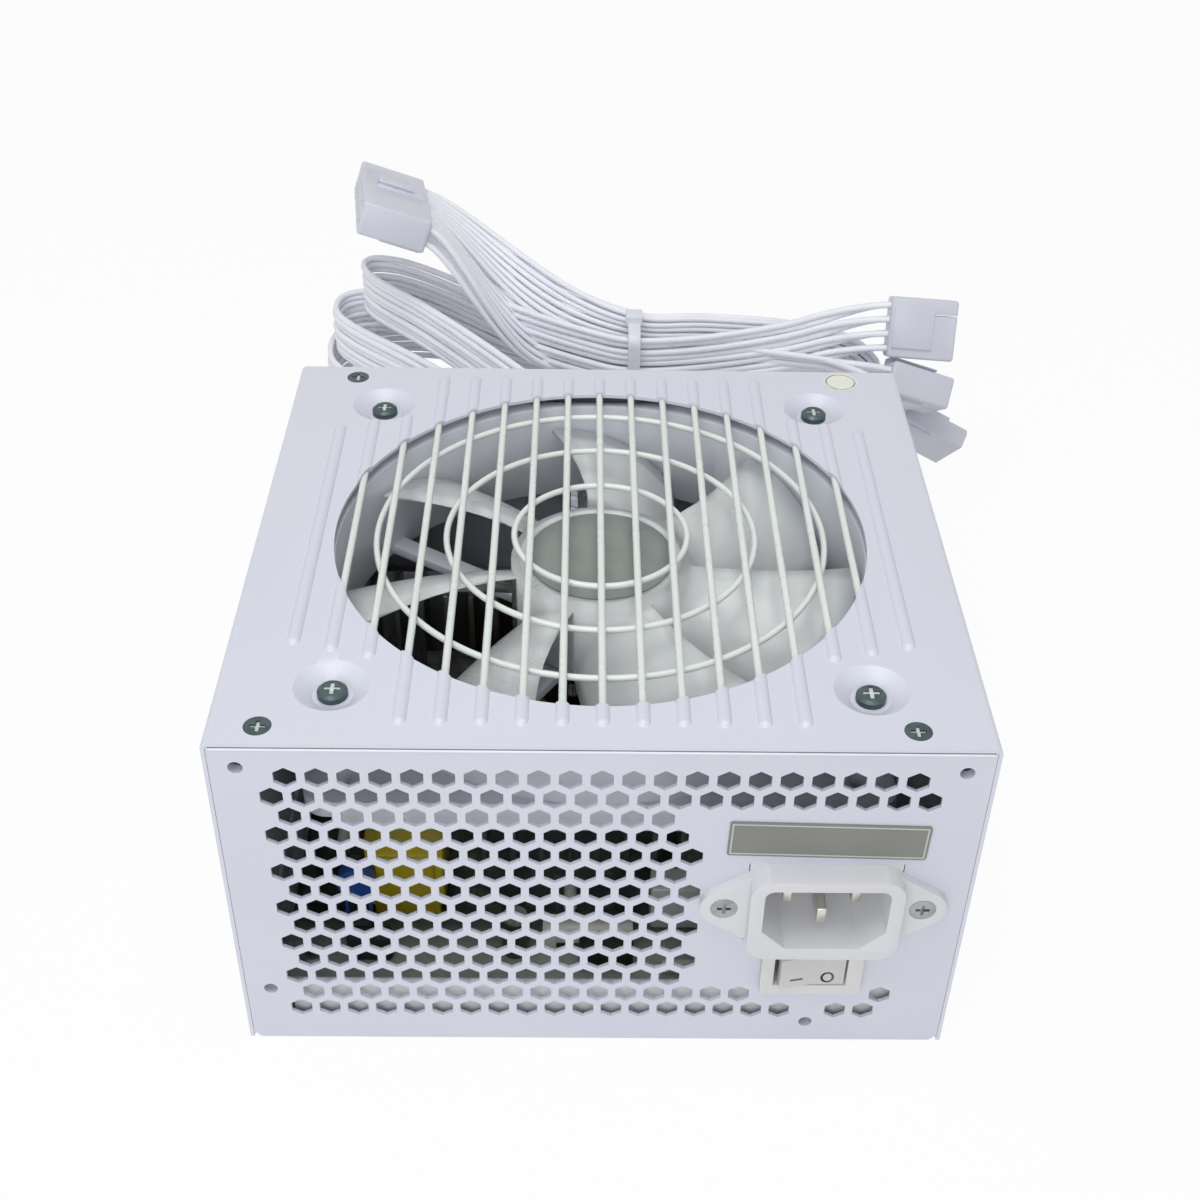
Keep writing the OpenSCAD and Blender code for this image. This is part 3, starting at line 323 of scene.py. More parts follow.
@dataclass(frozen=True)
class Finish:
    """A surface with drifting colour, handled roughness and fine grain; colours are 0 to 255."""

    name: str
    base: Steps
    other: Steps
    roughness: float = 0.45
    metallic: float = 0.0
    drift_scale: float = 30.0
    drift: float = 0.5
    wear: float = 0.12
    grain: float = 1500.0
    grain_depth: float = 0.004
    ripple: float = 0.3
    coat: float = 0.0
    dust: float = 0.0

    def like(self, name: str, base: Steps, other: Steps, **changes) -> "Finish":
        """A finish of the same kind with its own name, its own colours and some other changes."""
        return replace(self, name=name, base=base, other=other, **changes)

    def build(self) -> bpy.types.Material:
        """Makes the material, or takes the one already made.

        Returns:
            The material.
        """
        title = f"{self.name}_finish"
        made = bpy.data.materials.get(title)
        if made:
            return made
        material = bpy.data.materials.new(title)
        material.use_nodes = True
        tree = material.node_tree
        relief = {"Height": self.height(tree), "Strength": 0.6, "Distance": self.grain_depth * MM}
        values = {"Metallic": self.metallic, "Coat Weight": self.coat, "Coat Roughness": 0.25,
                  "Base Color": self.colour(tree), "Roughness": self.rough(tree),
                  "Normal": add_node(tree, "Bump", relief, "Normal"), **self.plain()}
        for name, term in values.items():
            feed(tree, tree.nodes["Principled BSDF"].inputs[name], term)
        return material

    def plain(self) -> dict[str, Term]:
        """Further plain values of the shader; a special finish gives its own."""
        return {}

    def colour(self, tree: Tree) -> Socket:
        """Colour over the surface, with dust where the finish has it.

        Args:
            tree: The material's node tree.

        Returns:
            The colour.
        """
        drift = use_group(tree, "tint_drift", "Colour", Base=tone(*self.base), Other=tone(*self.other),
                          Scale=self.drift_scale, Amount=self.drift)
        if not self.dust:
            return drift
        return mix(tree, use_group(tree, "dust", "Mask", Amount=self.dust), drift, tone(*DUST_TONE))

    def rough(self, tree: Tree) -> Socket:
        """Roughness over the surface."""
        return use_group(tree, "handling", "Roughness", Roughness=self.roughness, Amount=self.wear)

    def height(self, tree: Tree) -> Socket:
        """Height that the bump reads."""
        return use_group(tree, "grain", "Height", Scale=self.grain, Ripple=self.ripple)


@dataclass(frozen=True)
class Drawn(Finish):
    """Metal with lines from drawing, rolling or turning."""

    streak_scale: float = 900.0

    def rough(self, tree: Tree) -> Socket:
        """Roughness that follows the streaks."""
        mask = use_group(tree, "streaks", "Mask", Scale=self.streak_scale)
        return plus(tree, self.roughness, times(tree, mask, self.wear))

    def height(self, tree: Tree) -> Socket:
        """Height of the streaks."""
        return use_group(tree, "streaks", "Height", Scale=self.streak_scale)


@dataclass(frozen=True)
class Taped(Finish):
    """Winding under layers of tape, with an edge line for each turn."""

    turn: float = 3.2

    def height(self, tree: Tree) -> Socket:
        """Height of the tape's turns over its fine creases.

        Args:
            tree: The material's node tree.

        Returns:
            The height.
        """
        waves = {"Vector": place_vector(tree), "Scale": 1.0 / (self.turn * MM) / 3.0, "Distortion": 0.6}
        bands = add_node(tree, "TexWave", waves, "Fac", bands_direction="Z", wave_profile="SAW")
        creases = noise(tree, place_vector(tree, (1, 1, 0.2)), 900.0, 3.0)
        return plus(tree, bands, times(tree, creases, 0.5))


@dataclass(frozen=True)
class Board(Finish):
    """Solder mask over a net of copper tracks and pads."""

    track: Steps = (26, 38, 31)
    # Pale colour towards the vents: painted light.
    vent_light_tone: Steps = (196, 210, 206)
    cell: float = 260.0

    def height(self, tree: Tree) -> Socket:
        """Height of the tracks, which is also their mask.

        Args:
            tree: The material's node tree.

        Returns:
            The height, from 0 to 1.
        """
        where = {"Vector": place_vector(tree), "Scale": self.cell}
        cells = add_node(tree, "TexVoronoi", where, "Distance", feature="F1", distance="CHEBYCHEV")
        return ramp(tree, cells, 0.30, 0.36)

    def colour(self, tree: Tree) -> Socket:
        """Mask colour, deeper over the tracks, and lighter towards the vents as painted light falling in
        through them.

        Args:
            tree: The material's node tree.

        Returns:
            The colour.
        """
        bare = mix(tree, times(tree, self.height(tree), 0.6), super().colour(tree), tone(*self.track))
        depth = add_node(tree, "SeparateXYZ", {0: place_vector(tree)}, "Y")
        # Painted light: the board gets lighter towards the front, where the vents are.
        vent_light_mask = ramp(tree, times(tree, depth, -1.0), 0.040, 0.060)
        return mix(tree, times(tree, vent_light_mask, 0.85), bare, tone(*self.vent_light_tone))


@dataclass(frozen=True)
class Clear(Finish):
    """Milky moulding that lets some light through."""

    through: float = 0.35

    def plain(self) -> dict[str, Term]:
        """Lets part of the light through."""
        return {"Transmission Weight": self.through, "IOR": 1.35}


@dataclass(frozen=True)
class Waxy(Finish):
    """Thick pale moulding in which light spreads below the surface."""

    spread: float = 0.12

    def plain(self) -> dict[str, Term]:
        """Lets light spread under the surface."""
        return {"Subsurface Weight": self.spread, "Subsurface Radius": (1.0, 0.95, 0.9),
                "Subsurface Scale": 0.6 * MM}


# ---- mesh helpers --------------------------------------------------------------------------------


def cad(node: str) -> Piece:
    """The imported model's object for a node."""
    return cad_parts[node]


def middle(node: str) -> Vector:
    """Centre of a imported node's box, in metres."""
    low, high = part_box(node)
    return (low + high) / 2


def dress(finish: Finish, *nodes: str) -> None:
    """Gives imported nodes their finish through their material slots.

    Args:
        finish: The finish.
        nodes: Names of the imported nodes.
    """
    for node in nodes:
        for place in cad(node).material_slots:
            place.material = finish.build()
        LOG.info("dressed %s in %s", node, finish.name)


def add_piece(name: str, form: Shape | bpy.types.Mesh, finishes: list[Finish], slot: str,
              body: Body = Body.CASE, crease: float = 35.0, stands_for: str = "") -> Piece:
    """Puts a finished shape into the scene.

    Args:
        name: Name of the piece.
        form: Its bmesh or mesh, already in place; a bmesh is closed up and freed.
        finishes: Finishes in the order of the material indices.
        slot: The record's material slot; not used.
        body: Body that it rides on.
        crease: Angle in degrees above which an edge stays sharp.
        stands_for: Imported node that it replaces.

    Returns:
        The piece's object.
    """
    if isinstance(form, Shape):
        bmesh.ops.remove_doubles(form, verts=form.verts, dist=0.002 * MM)
        bmesh.ops.recalc_face_normals(form, faces=form.faces)
        mesh = bpy.data.meshes.new(name)
        form.to_mesh(mesh)
        form.free()
    else:
        mesh = form
    mesh.name = name
    for finish in finishes:
        mesh.materials.append(finish.build())
    mesh.shade_smooth()
    mesh.set_sharp_from_angle(angle=math.radians(crease))
    piece = bpy.data.objects.new(name, mesh)
    bpy.context.scene.collection.objects.link(piece)
    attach(piece, body.value)
    if stands_for:
        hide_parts(stands_for)
    LOG.info("piece %s: %d faces", name, len(mesh.polygons))
    return piece


def merged(node: str, flat: float = 0.0) -> Shape:
    """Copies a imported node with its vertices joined, and its flat faces too where that is asked.

    Args:
        node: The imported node.
        flat: Angle in degrees under which neighbouring faces are joined.

    Returns:
        The copy.
    """
    shape = bmesh.new()
    shape.from_mesh(cad(node).data)
    bmesh.ops.remove_doubles(shape, verts=shape.verts, dist=0.004 * MM)
    if flat:
        bmesh.ops.dissolve_limit(shape, angle_limit=math.radians(flat), verts=shape.verts, edges=shape.edges)
    return shape


def bevel(shape: Shape, edges: list[bmesh.types.BMEdge], width: float, segments: int = 2) -> None:
    """Rounds the given edges by a width in millimetres."""
    bmesh.ops.bevel(shape, geom=edges, affect="EDGES", offset=width * MM, offset_type="OFFSET",
                    segments=segments, profile=0.5, material=-1, clamp_overlap=True)


def sharp_edges(shape: Shape, angle: float = 30.0) -> list[bmesh.types.BMEdge]:
    """Edges whose two faces meet at more than an angle in degrees."""
    limit = math.radians(angle)
    return [e for e in shape.edges if e.is_manifold and e.calc_face_angle(0.0) > limit]


def box_rims(shape: Shape, seat: Matrix, half: Triple) -> list[bmesh.types.BMEdge]:
    """Finds the edges that lie on the rims of a turned box.

    Args:
        shape: The bmesh.
        seat: Turn and place of the box, in metres.
        half: Half its sizes along its own axes, in millimetres.

    Returns:
        The edges.
    """
    back = seat.inverted()

    def sides(vert: bmesh.types.BMVert) -> set[tuple[int, bool]]:
        """Sides of the box that a vertex lies on."""
        own = (back @ vert.co) / MM
        return {(axis, own[axis] > 0) for axis in range(3) if abs(abs(own[axis]) - half[axis]) < 0.02}

    return [edge for edge in shape.edges if len(sides(edge.verts[0]) & sides(edge.verts[1])) >= 2]


def softened(node: str, finish: Finish, slot: str, width: float, segments: int = 2, body: Body = Body.CASE,
             box: tuple[Matrix, Triple, float] | None = None) -> Piece:
    """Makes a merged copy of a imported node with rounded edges; the copy stands for the node.

    Args:
        node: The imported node.
        finish: Its finish.
        slot: The record's material slot.
        width: Width of the rounding in millimetres.
        segments: Faces across each rounding.
        body: Body that it rides on.
        box: Frame of a box whose rims are rounded first, with its half sizes and their rounding.

    Returns:
        The new piece.
    """
    shape = merged(node, FLAT_ANGLE)
    if box:
        seat, half, rim = box
        bevel(shape, box_rims(shape, seat, half), rim, 4)
    bevel(shape, sharp_edges(shape), width, segments)
    return add_piece(f"{node}_moulded", shape, [finish], slot, body, stands_for=node)


def merge_into(shape: Shape, part: Shape, material: int = 0) -> None:
    """Moves a finished part into a larger bmesh, with one material index for its faces.

    Args:
        shape: The larger bmesh.
        part: The part, which is freed.
        material: Material index of its faces.
    """
    for face in part.faces:
        face.material_index = material
    mesh = bpy.data.meshes.new("part")
    part.to_mesh(mesh)
    part.free()
    shape.from_mesh(mesh)
    bpy.data.meshes.remove(mesh)


def block(shape: Shape, size: Triple, centre: Triple, round_by: float = 0.0, material: int = 0,
          place: Matrix = Matrix()) -> None:
    """Adds a box with rounded edges.

    Args:
        shape: The bmesh that gets it.
        size: Lengths along X, Y and Z in millimetres.
        centre: Its centre in millimetres.
        round_by: Width of the rounding in millimetres.
        material: Material index of its faces.
        place: Turn and place of the whole, in metres.
    """
    part = bmesh.new()
    cube = Matrix.Translation(Vector(centre) * MM) @ Matrix.Diagonal((*[s * MM for s in size], 1.0))
    bmesh.ops.create_cube(part, size=1.0, matrix=cube)
    if round_by:
        bevel(part, list(part.edges), round_by)
    bmesh.ops.transform(part, matrix=place, verts=part.verts)
    merge_into(shape, part, material)


def drum(shape: Shape, radius: float, height: float, place: Matrix, sides: int = 24, round_by: float = 0.0,
         top_radius: float | None = None, material: int = 0) -> None:
    """Adds a round drum along its own Z.

    Args:
        shape: The bmesh that gets it.
        radius: Radius at the bottom in millimetres.
        height: Length along Z in millimetres, centred.
        place: Turn and place, in metres.
        sides: Number of faces around.
        round_by: Width of the rounding at both rims.
        top_radius: Radius at the top where it differs.
        material: Material index of its faces.
    """
    part = bmesh.new()
    bmesh.ops.create_cone(part, cap_ends=True, segments=sides, radius1=radius * MM,
                          radius2=(radius if top_radius is None else top_radius) * MM, depth=height * MM)
    if round_by:
        bevel(part, sharp_edges(part, 50.0), round_by)
    bmesh.ops.transform(part, matrix=place, verts=part.verts)
    merge_into(shape, part, material)


def at(x: float, y: float, z: float) -> Matrix:
    """Moves by a distance in millimetres."""
    return Matrix.Translation(Vector((x, y, z)) * MM)


def turn(degrees: float, axis: str) -> Matrix:
    """Turns about one axis."""
    return Matrix.Rotation(math.radians(degrees), 4, axis)


def scad_turn(x: float, y: float, z: float) -> Matrix:
    """Turns about X, then Y, then Z, in degrees."""
    return turn(z, "Z") @ turn(y, "Y") @ turn(x, "X")


def wires(lines: list[list[Vector]], radius: float, sides: int = 8) -> bpy.types.Mesh:
    """Round wires along open lines, as one mesh.

    Args:
        lines: Points of each wire, in metres.
        radius: Radius of the wires in millimetres.
        sides: Faces around each wire.

    Returns:
        The mesh of all wires.
    """
    curve = bpy.data.curves.new("wires", "CURVE")
    curve.dimensions = "3D"
    curve.bevel_depth = radius * MM
    curve.bevel_resolution = (sides - 4) // 2
    curve.use_fill_caps = True
    for line in lines:
        spline = curve.splines.new("POLY")
        spline.points.add(len(line) - 1)
        for point, place in zip(spline.points, line):
            point.co = (*place, 1.0)
    holder = bpy.data.objects.new("wires", curve)
    mesh = bpy.data.meshes.new_from_object(holder)
    bpy.data.objects.remove(holder)
    bpy.data.curves.remove(curve)
    return mesh


def smooth_line(points: list[Vector], steps: int) -> list[Vector]:
    """Runs one smooth open curve through the points.

    Args:
        points: Points that the curve passes, in order.
        steps: Steps between two neighbouring points.

    Returns:
        Points along the curve.
    """
    ends = [points[0] * 2 - points[1], *points, points[-1] * 2 - points[-2]]
    line = []
    for a, b, c, d in zip(ends, ends[1:], ends[2:], ends[3:]):
        for k in range(steps):
            t = k / steps
            line.append(0.5 * (2 * b + (c - a) * t + (2 * a - 5 * b + 4 * c - d) * t * t
                               + (3 * b - a - 3 * c + d) * t ** 3))
    line.append(points[-1].copy())
    return line


def soft_step(value: float) -> float:
    """Eases from 0 to 1 without corners."""
    value = min(1.0, max(0.0, value))
    return value * value * (3 - 2 * value)


# ---- case ----------------------------------------------------------------------------------------

CASE_PAINT = Finish("case_paint", (207, 210, 222), (199, 203, 216), roughness=0.42, drift=0.45,
                    drift_scale=14.0, wear=0.16, grain=1400.0, grain_depth=0.012, ripple=0.8, coat=0.15)
# The lid's paint is a lighter copy of the case paint: painted light on the top.
LIT_COVER_PAINT = CASE_PAINT.like("cover_paint", (211, 214, 226), (204, 208, 221), roughness=0.4,
                              drift_scale=12.0)
# Lighter copy of the case paint for the panel's rounded top edge: a painted highlight.
FOLD_HIGHLIGHT = Finish("fold_highlight", (233, 235, 244), (224, 227, 237), roughness=0.34, drift_scale=90.0,
                    wear=0.2, grain_depth=0.003, coat=0.2)
# Dark colour for the strip in the seam under the lid's front edge: a painted shadow.
SEAM_SHADE = Finish("seam_shade", (104, 107, 118), (86, 89, 100), roughness=0.6, drift_scale=90.0)
GRILLE_ENAMEL = Finish("grille_enamel", (223, 229, 225), (210, 216, 212), roughness=0.26, drift_scale=45.0,
                       wear=0.2, grain=1100.0, grain_depth=0.006, coat=0.4)
BRIGHT_ZINC = Drawn("bright_zinc", (176, 180, 180), (128, 132, 130), roughness=0.26, metallic=1.0, wear=0.22,
                    drift=0.7, drift_scale=180.0, grain_depth=0.006)
# Pale steel that fills the screw crosses: a painted highlight.
SLOT_HIGHLIGHT_STEEL = Drawn("slot_highlight_steel", (216, 222, 222), (176, 184, 184), roughness=0.4, metallic=0.5, wear=0.2,
                   drift=0.7, drift_scale=900.0)
DARK_ZINC = BRIGHT_ZINC.like("dark_zinc", (88, 102, 104), (52, 64, 66), roughness=0.3, metallic=0.85,
                             wear=0.25, drift_scale=300.0)
SEAL_PAPER = Finish("seal_paper", (232, 233, 222), (222, 224, 214), roughness=0.5, drift_scale=220.0,
                    grain=700.0, grain_depth=0.02, ripple=1.0)
SEAL_EDGE = SEAL_PAPER.like("seal_edge", (118, 124, 110), (196, 199, 186), drift=1.0, drift_scale=420.0,
                            ripple=0.3)
PLATE_GREY = Finish("plate_grey", (126, 128, 123), (118, 120, 115), roughness=0.4, drift_scale=60.0,
                    grain=1800.0, grain_depth=0.006, wear=0.2, coat=0.2)
PLATE_LINE = PLATE_GREY.like("plate_line", (196, 198, 193), (184, 186, 181), drift_scale=200.0,
                             grain_depth=0.004, wear=0.12, coat=0.0)


@dataclass
class Housing:
    """The folded sheet case, its screws, the bare rating plate and the paper seal.

    Lengths are in millimetres.
    """

    plate_border: float = 0.62
    plate_line: float = 0.28
    plate_turn: float = -1.5
    screw_radius: float = 3.0
    dimple_reach: float = 9.0
    dimple_blend: float = 1.4
    fan_cross: Triple = (3.2, 0.8, 0.9)
    cover_cross: Triple = (2.9, 0.7, 0.12)
    bead: float = 0.5
    bead_drop: float = 0.38
    seam_line: float = 0.2
    print_thick: float = 0.08
    seal_thick: float = 0.12
    seal_rings: tuple[tuple[float, float, int], ...] = ((0.5, -0.03, 0), (0.42, 0.0, 1), (1.2, 0.03, 0))
    cover_screws: tuple[tuple[float, float], ...] = ((-65.0, -64.9), (59.7, -64.9), (-60.3, 64.9))

    def build(self) -> None:
        """Dresses the sheets and screws and adds what lies on them."""
        dress(CASE_PAINT, "base_tray")
        self.lid()
        dress(DARK_ZINC, "fan_screws", "cover_screws")
        dress(BRIGHT_ZINC, "inlet_screws")
        self.rating_plate()
        self.seal()
        self.bright_slots()
        self.lid_seam()

    def fan_screws(self) -> list[tuple[float, float]]:
        """Places of the fan's screws on the lid.

        Returns:
            X and Y of each screw in millimetres.
        """
        low, high = (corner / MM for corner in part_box("fan_screws"))
        inset = self.screw_radius
        return [(x, y) for x in (low.x + inset, high.x - inset) for y in (low.y + inset, high.y - inset)]

    def lid_seam(self) -> None:
        """Rounded top edge of the mains panel in a lighter paint as a painted highlight, and a dark strip
        between it and the lid as a painted shadow line.
        """
        low, high = (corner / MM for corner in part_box("base_tray"))
        wide = high.x - low.x - 1.0
        shape = bmesh.new()
        # Pale bead along the panel's top edge: painted highlight.
        block(shape, (wide, self.bead, self.bead), (0, low.y, high.z - self.bead_drop), 0.2)
        # Dark strip in the seam: painted shadow.
        block(shape, (wide, 0.1, self.seam_line), (0, low.y + 0.01, high.z), material=1)
        add_piece("lid_front_seam", shape, [FOLD_HIGHLIGHT, SEAM_SHADE], "case_paint")

    def lid(self) -> None:
        """Merged copy of the lid, in which the screw dimples blend softly into the sheet."""
        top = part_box("cover")[1].z - 0.05 * MM
        screws = [Vector(place) * MM for place in self.fan_screws()]
        shape = merged("cover", FLAT_ANGLE)

        def on_rim(vert: bmesh.types.BMVert) -> bool:
            """Whether a vertex lies on the lid's top face, near a fan screw."""
            near = min((vert.co.xy - screw).length for screw in screws)
            return vert.co.z > top and near < self.dimple_reach * MM

        rims = [e for e in sharp_edges(shape, 5.0) if on_rim(e.verts[0]) and on_rim(e.verts[1])]
        bevel(shape, rims, self.dimple_blend, 6)
        # The lid takes the lighter copy of the case paint: painted light.
        add_piece("lid_pressed", shape, [LIT_COVER_PAINT], "cover_paint", crease=12.0, stands_for="cover")

    def bright_slots(self) -> None:
        """Pale steel in the crosses of the dark screws, as a painted highlight."""
        fan_top, cover_top = (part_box(node)[1].z / MM for node in ("fan_screws", "cover_screws"))
        crosses = [(x, y, fan_top - 0.3, self.fan_cross) for x, y in self.fan_screws()]
        crosses += [(x, y, cover_top - 0.4, self.cover_cross) for x, y in self.cover_screws]
        shape = bmesh.new()
        for x, y, top, (long, wide, deep) in crosses:
            block(shape, (long, wide, deep), (x, y, top - deep / 2))
            block(shape, (wide, long, deep), (x, y, top - deep / 2 + 0.02))
        # Pale blocks in the crosses: painted highlight.
        add_piece("worn_screw_slots", shape, [SLOT_HIGHLIGHT_STEEL], "zinc")

    def rating_plate(self) -> None:
        """Bare grey plate with a thin pale line around it."""
        low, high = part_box("rating_plate")
        size = (high - low) / MM
        tilt = abs(math.radians(self.plate_turn))
        width = (size.x - size.z * math.sin(tilt)) / math.cos(tilt)
        height = (size.z - width * math.sin(tilt)) / math.cos(tilt)
        shape = bmesh.new()
        block(shape, (width, size.y - 0.06, height), (0, 0.03, 0))
        corners = [e for e in shape.edges if abs((e.verts[0].co - e.verts[1].co).y) > 1e-6]
        bevel(shape, corners, 0.6, 4)
        across, up = width / 2 - self.plate_border, height / 2 - self.plate_border
        line, thick = self.plate_line, self.print_thick
        front = (thick - size.y) / 2
        for side in (-1, 1):
            block(shape, (2 * across + line, thick, line), (0, front, side * up), material=1)
            block(shape, (line, thick, 2 * up - line), (side * across, front, 0), material=1)
        place = Matrix.Translation(middle("rating_plate")) @ turn(-self.plate_turn, "Y")
        bmesh.ops.transform(shape, matrix=place, verts=shape.verts)
        add_piece("rating_plate_bare", shape, [PLATE_GREY, PLATE_LINE], "plate_grey",
                  stands_for="rating_plate")

    def seal(self) -> None:
        """Round paper seal over one cover screw, pressed in a little over the screw's rim."""
        low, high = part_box("seal_sticker")
        shape = bmesh.new()
        bmesh.ops.create_circle(shape, cap_ends=True, segments=48, radius=(high.x - low.x) / 2)
        for inner, lift, kind in self.seal_rings:
            disc = max(shape.faces, key=lambda f: len(f.verts))
            ring = bmesh.ops.inset_region(shape, faces=[disc], use_boundary=True, use_even_offset=True,
                                          thickness=inner * MM, depth=lift * MM)["faces"]
            for face in ring:
                face.material_index = kind
        bmesh.ops.solidify(shape, geom=shape.faces[:], thickness=self.seal_thick * MM)
        centre = middle("seal_sticker")
        centre.z = high.z - self.seal_thick / 3 * MM
        bmesh.ops.translate(shape, verts=shape.verts, vec=centre)
        add_piece("seal_paper_disc", shape, [SEAL_PAPER, SEAL_EDGE], "seal_paper",
                  stands_for="seal_sticker")


# ---- inlet and switch ----------------------------------------------------------------------------

SOCKET_PLASTIC = Waxy("socket_plastic", (212, 213, 217), (204, 205, 209), roughness=0.36, drift_scale=50.0,
                      grain=1700.0, grain_depth=0.006, wear=0.14)
BEZEL_PLASTIC = SOCKET_PLASTIC.like("bezel_plastic", (212, 212, 212), (203, 203, 203), roughness=0.34,
                                    drift_scale=70.0, grain_depth=0.005)
ROCKER_PLASTIC = SOCKET_PLASTIC.like("rocker_plastic", (198, 198, 198), (189, 189, 188), roughness=0.28,
                                     drift_scale=90.0, grain=1900.0, grain_depth=0.004)
MARK_GREY = Finish("mark_grey", (72, 74, 76), (90, 92, 94), roughness=0.5, drift_scale=300.0)
TIN = Drawn("tin_plate", (226, 224, 214), (190, 188, 178), roughness=0.22, metallic=1.0, wear=0.2,
            drift_scale=120.0)


@dataclass
class MainsEntry:
    """Mains inlet, its contact blades, and the rocker switch with its two marks.

    Lengths are in millimetres.
    """

    pivot: Triple = (44.35, -69.0, 24.9)
    tilt: float = 6.0
    half_width: float = 6.85
    ridge: float = 2.8
    crown: float = 3.4
    mark_drop: float = -2.1
    mark_side: float = 3.3
    mark_thick: float = 0.52
    mark_height: float = 0.06
    dash: float = 2.7
    ring_radius: float = 1.65
    ring_squash: float = 0.88
    gap_bead: Triple = (31.0, 0.5, 0.4)
    gap_at: Triple = (45.0, -69.78, 55.26)

    def build(self) -> None:
        """Adds the moulded pieces, dresses the metal ones and fills the gap above the inlet."""
        softened("inlet_socket", SOCKET_PLASTIC, "socket_plastic", 0.45, 3)
        softened("switch_bezel", BEZEL_PLASTIC, "bezel_plastic", 0.3, 3)
        softened("switch_rocker", ROCKER_PLASTIC, "rocker_plastic", 0.3, 3, Body.ROCKER)
        softened("inlet_pins", TIN, "contact_metal", 0.25)
        dress(TIN, "switch_terminals")
        self.marks()
        shape = bmesh.new()
        block(shape, self.gap_bead, self.gap_at, 0.08)
        add_piece("inlet_gap_bead", shape, [SOCKET_PLASTIC], "socket_plastic")

    def _half(self, side: int) -> Matrix:
        """Frame of a rocker half: its X runs outward along the face, its Z out of the face.

        Args:
            side: -1 for the half with the dash and 1 for the one with the ring.

        Returns:
            The frame, in metres.
        """
        rise = (self.crown - self.ridge) / self.half_width
        slope = math.degrees(math.atan(rise))
        return (at(*self.pivot) @ turn(self.tilt, "Z")
                @ at(side * self.mark_side, -self.ridge - rise * self.mark_side, self.mark_drop)
                @ turn(-side * slope, "Z") @ turn(90, "X"))

    def marks(self) -> None:
        """Dash and ring, printed on the two halves of the rocker."""
        shape = bmesh.new()
        block(shape, (self.dash, self.mark_thick, self.mark_height), (0, 0, 0), place=self._half(-1))
        ring = bmesh.new()
        bmesh.ops.create_circle(ring, cap_ends=True, segments=40, radius=self.ring_radius * MM)
        bmesh.ops.scale(ring, vec=(self.ring_squash, 1.0, 1.0), verts=ring.verts)
        cap = bmesh.ops.inset_region(ring, faces=ring.faces[:], use_boundary=True, use_even_offset=True,
                                     thickness=self.mark_thick * MM)["faces"]
        bmesh.ops.delete(ring, geom=[f for f in ring.faces if f not in cap], context="FACES")
        bmesh.ops.solidify(ring, geom=ring.faces[:], thickness=self.mark_height * MM)
        bmesh.ops.transform(ring, matrix=self._half(1), verts=ring.verts)
        merge_into(shape, ring)
        add_piece("switch_marks", shape, [MARK_GREY], "rocker_plastic", Body.ROCKER)


# ---- fan -----------------------------------------------------------------------------------------

FAN_PLASTIC = Waxy("fan_plastic", (216, 219, 227), (205, 208, 217), roughness=0.34, drift_scale=40.0,
                   grain=1300.0, grain_depth=0.008, coat=0.4, dust=0.06)
BLADE_PLASTIC = Clear("blade_plastic", (236, 240, 241), (226, 230, 232), roughness=0.24, drift_scale=25.0,
                      grain=900.0, wear=0.18, through=0.25, coat=0.5)
HUB_LABEL = Finish("hub_label", (126, 137, 131), (112, 123, 118), roughness=0.34, metallic=0.25, drift=0.8,
                   drift_scale=130.0, grain=600.0, grain_depth=0.02, ripple=1.2, coat=0.5)
GROUND_STEEL = Drawn("ground_steel", (190, 192, 196), (150, 152, 156), roughness=0.2, metallic=1.0)
SINTERED = Finish("sintered_bronze", (168, 138, 92), (130, 104, 66), roughness=0.55, metallic=0.8,
                  grain=2200.0, grain_depth=0.02)
MAGNET = Finish("magnet_ferrite", (58, 58, 62), (44, 44, 48), roughness=0.7, grain=1900.0, grain_depth=0.015)
VARNISH = Drawn("varnished_copper", (150, 92, 44), (96, 54, 24), roughness=0.32, metallic=0.6,
                streak_scale=2600.0, grain_depth=0.05)
LEAD_PALE = Finish("lead_pale", (222, 224, 228), (208, 210, 216), drift_scale=120.0, grain_depth=0.008)
LEAD_BLACK = LEAD_PALE.like("lead_black", (40, 40, 43), (54, 54, 58), roughness=0.5)
LEAD_BROWN = Finish("lead_brown", (96, 78, 66), (78, 62, 52), roughness=0.5, drift_scale=120.0)


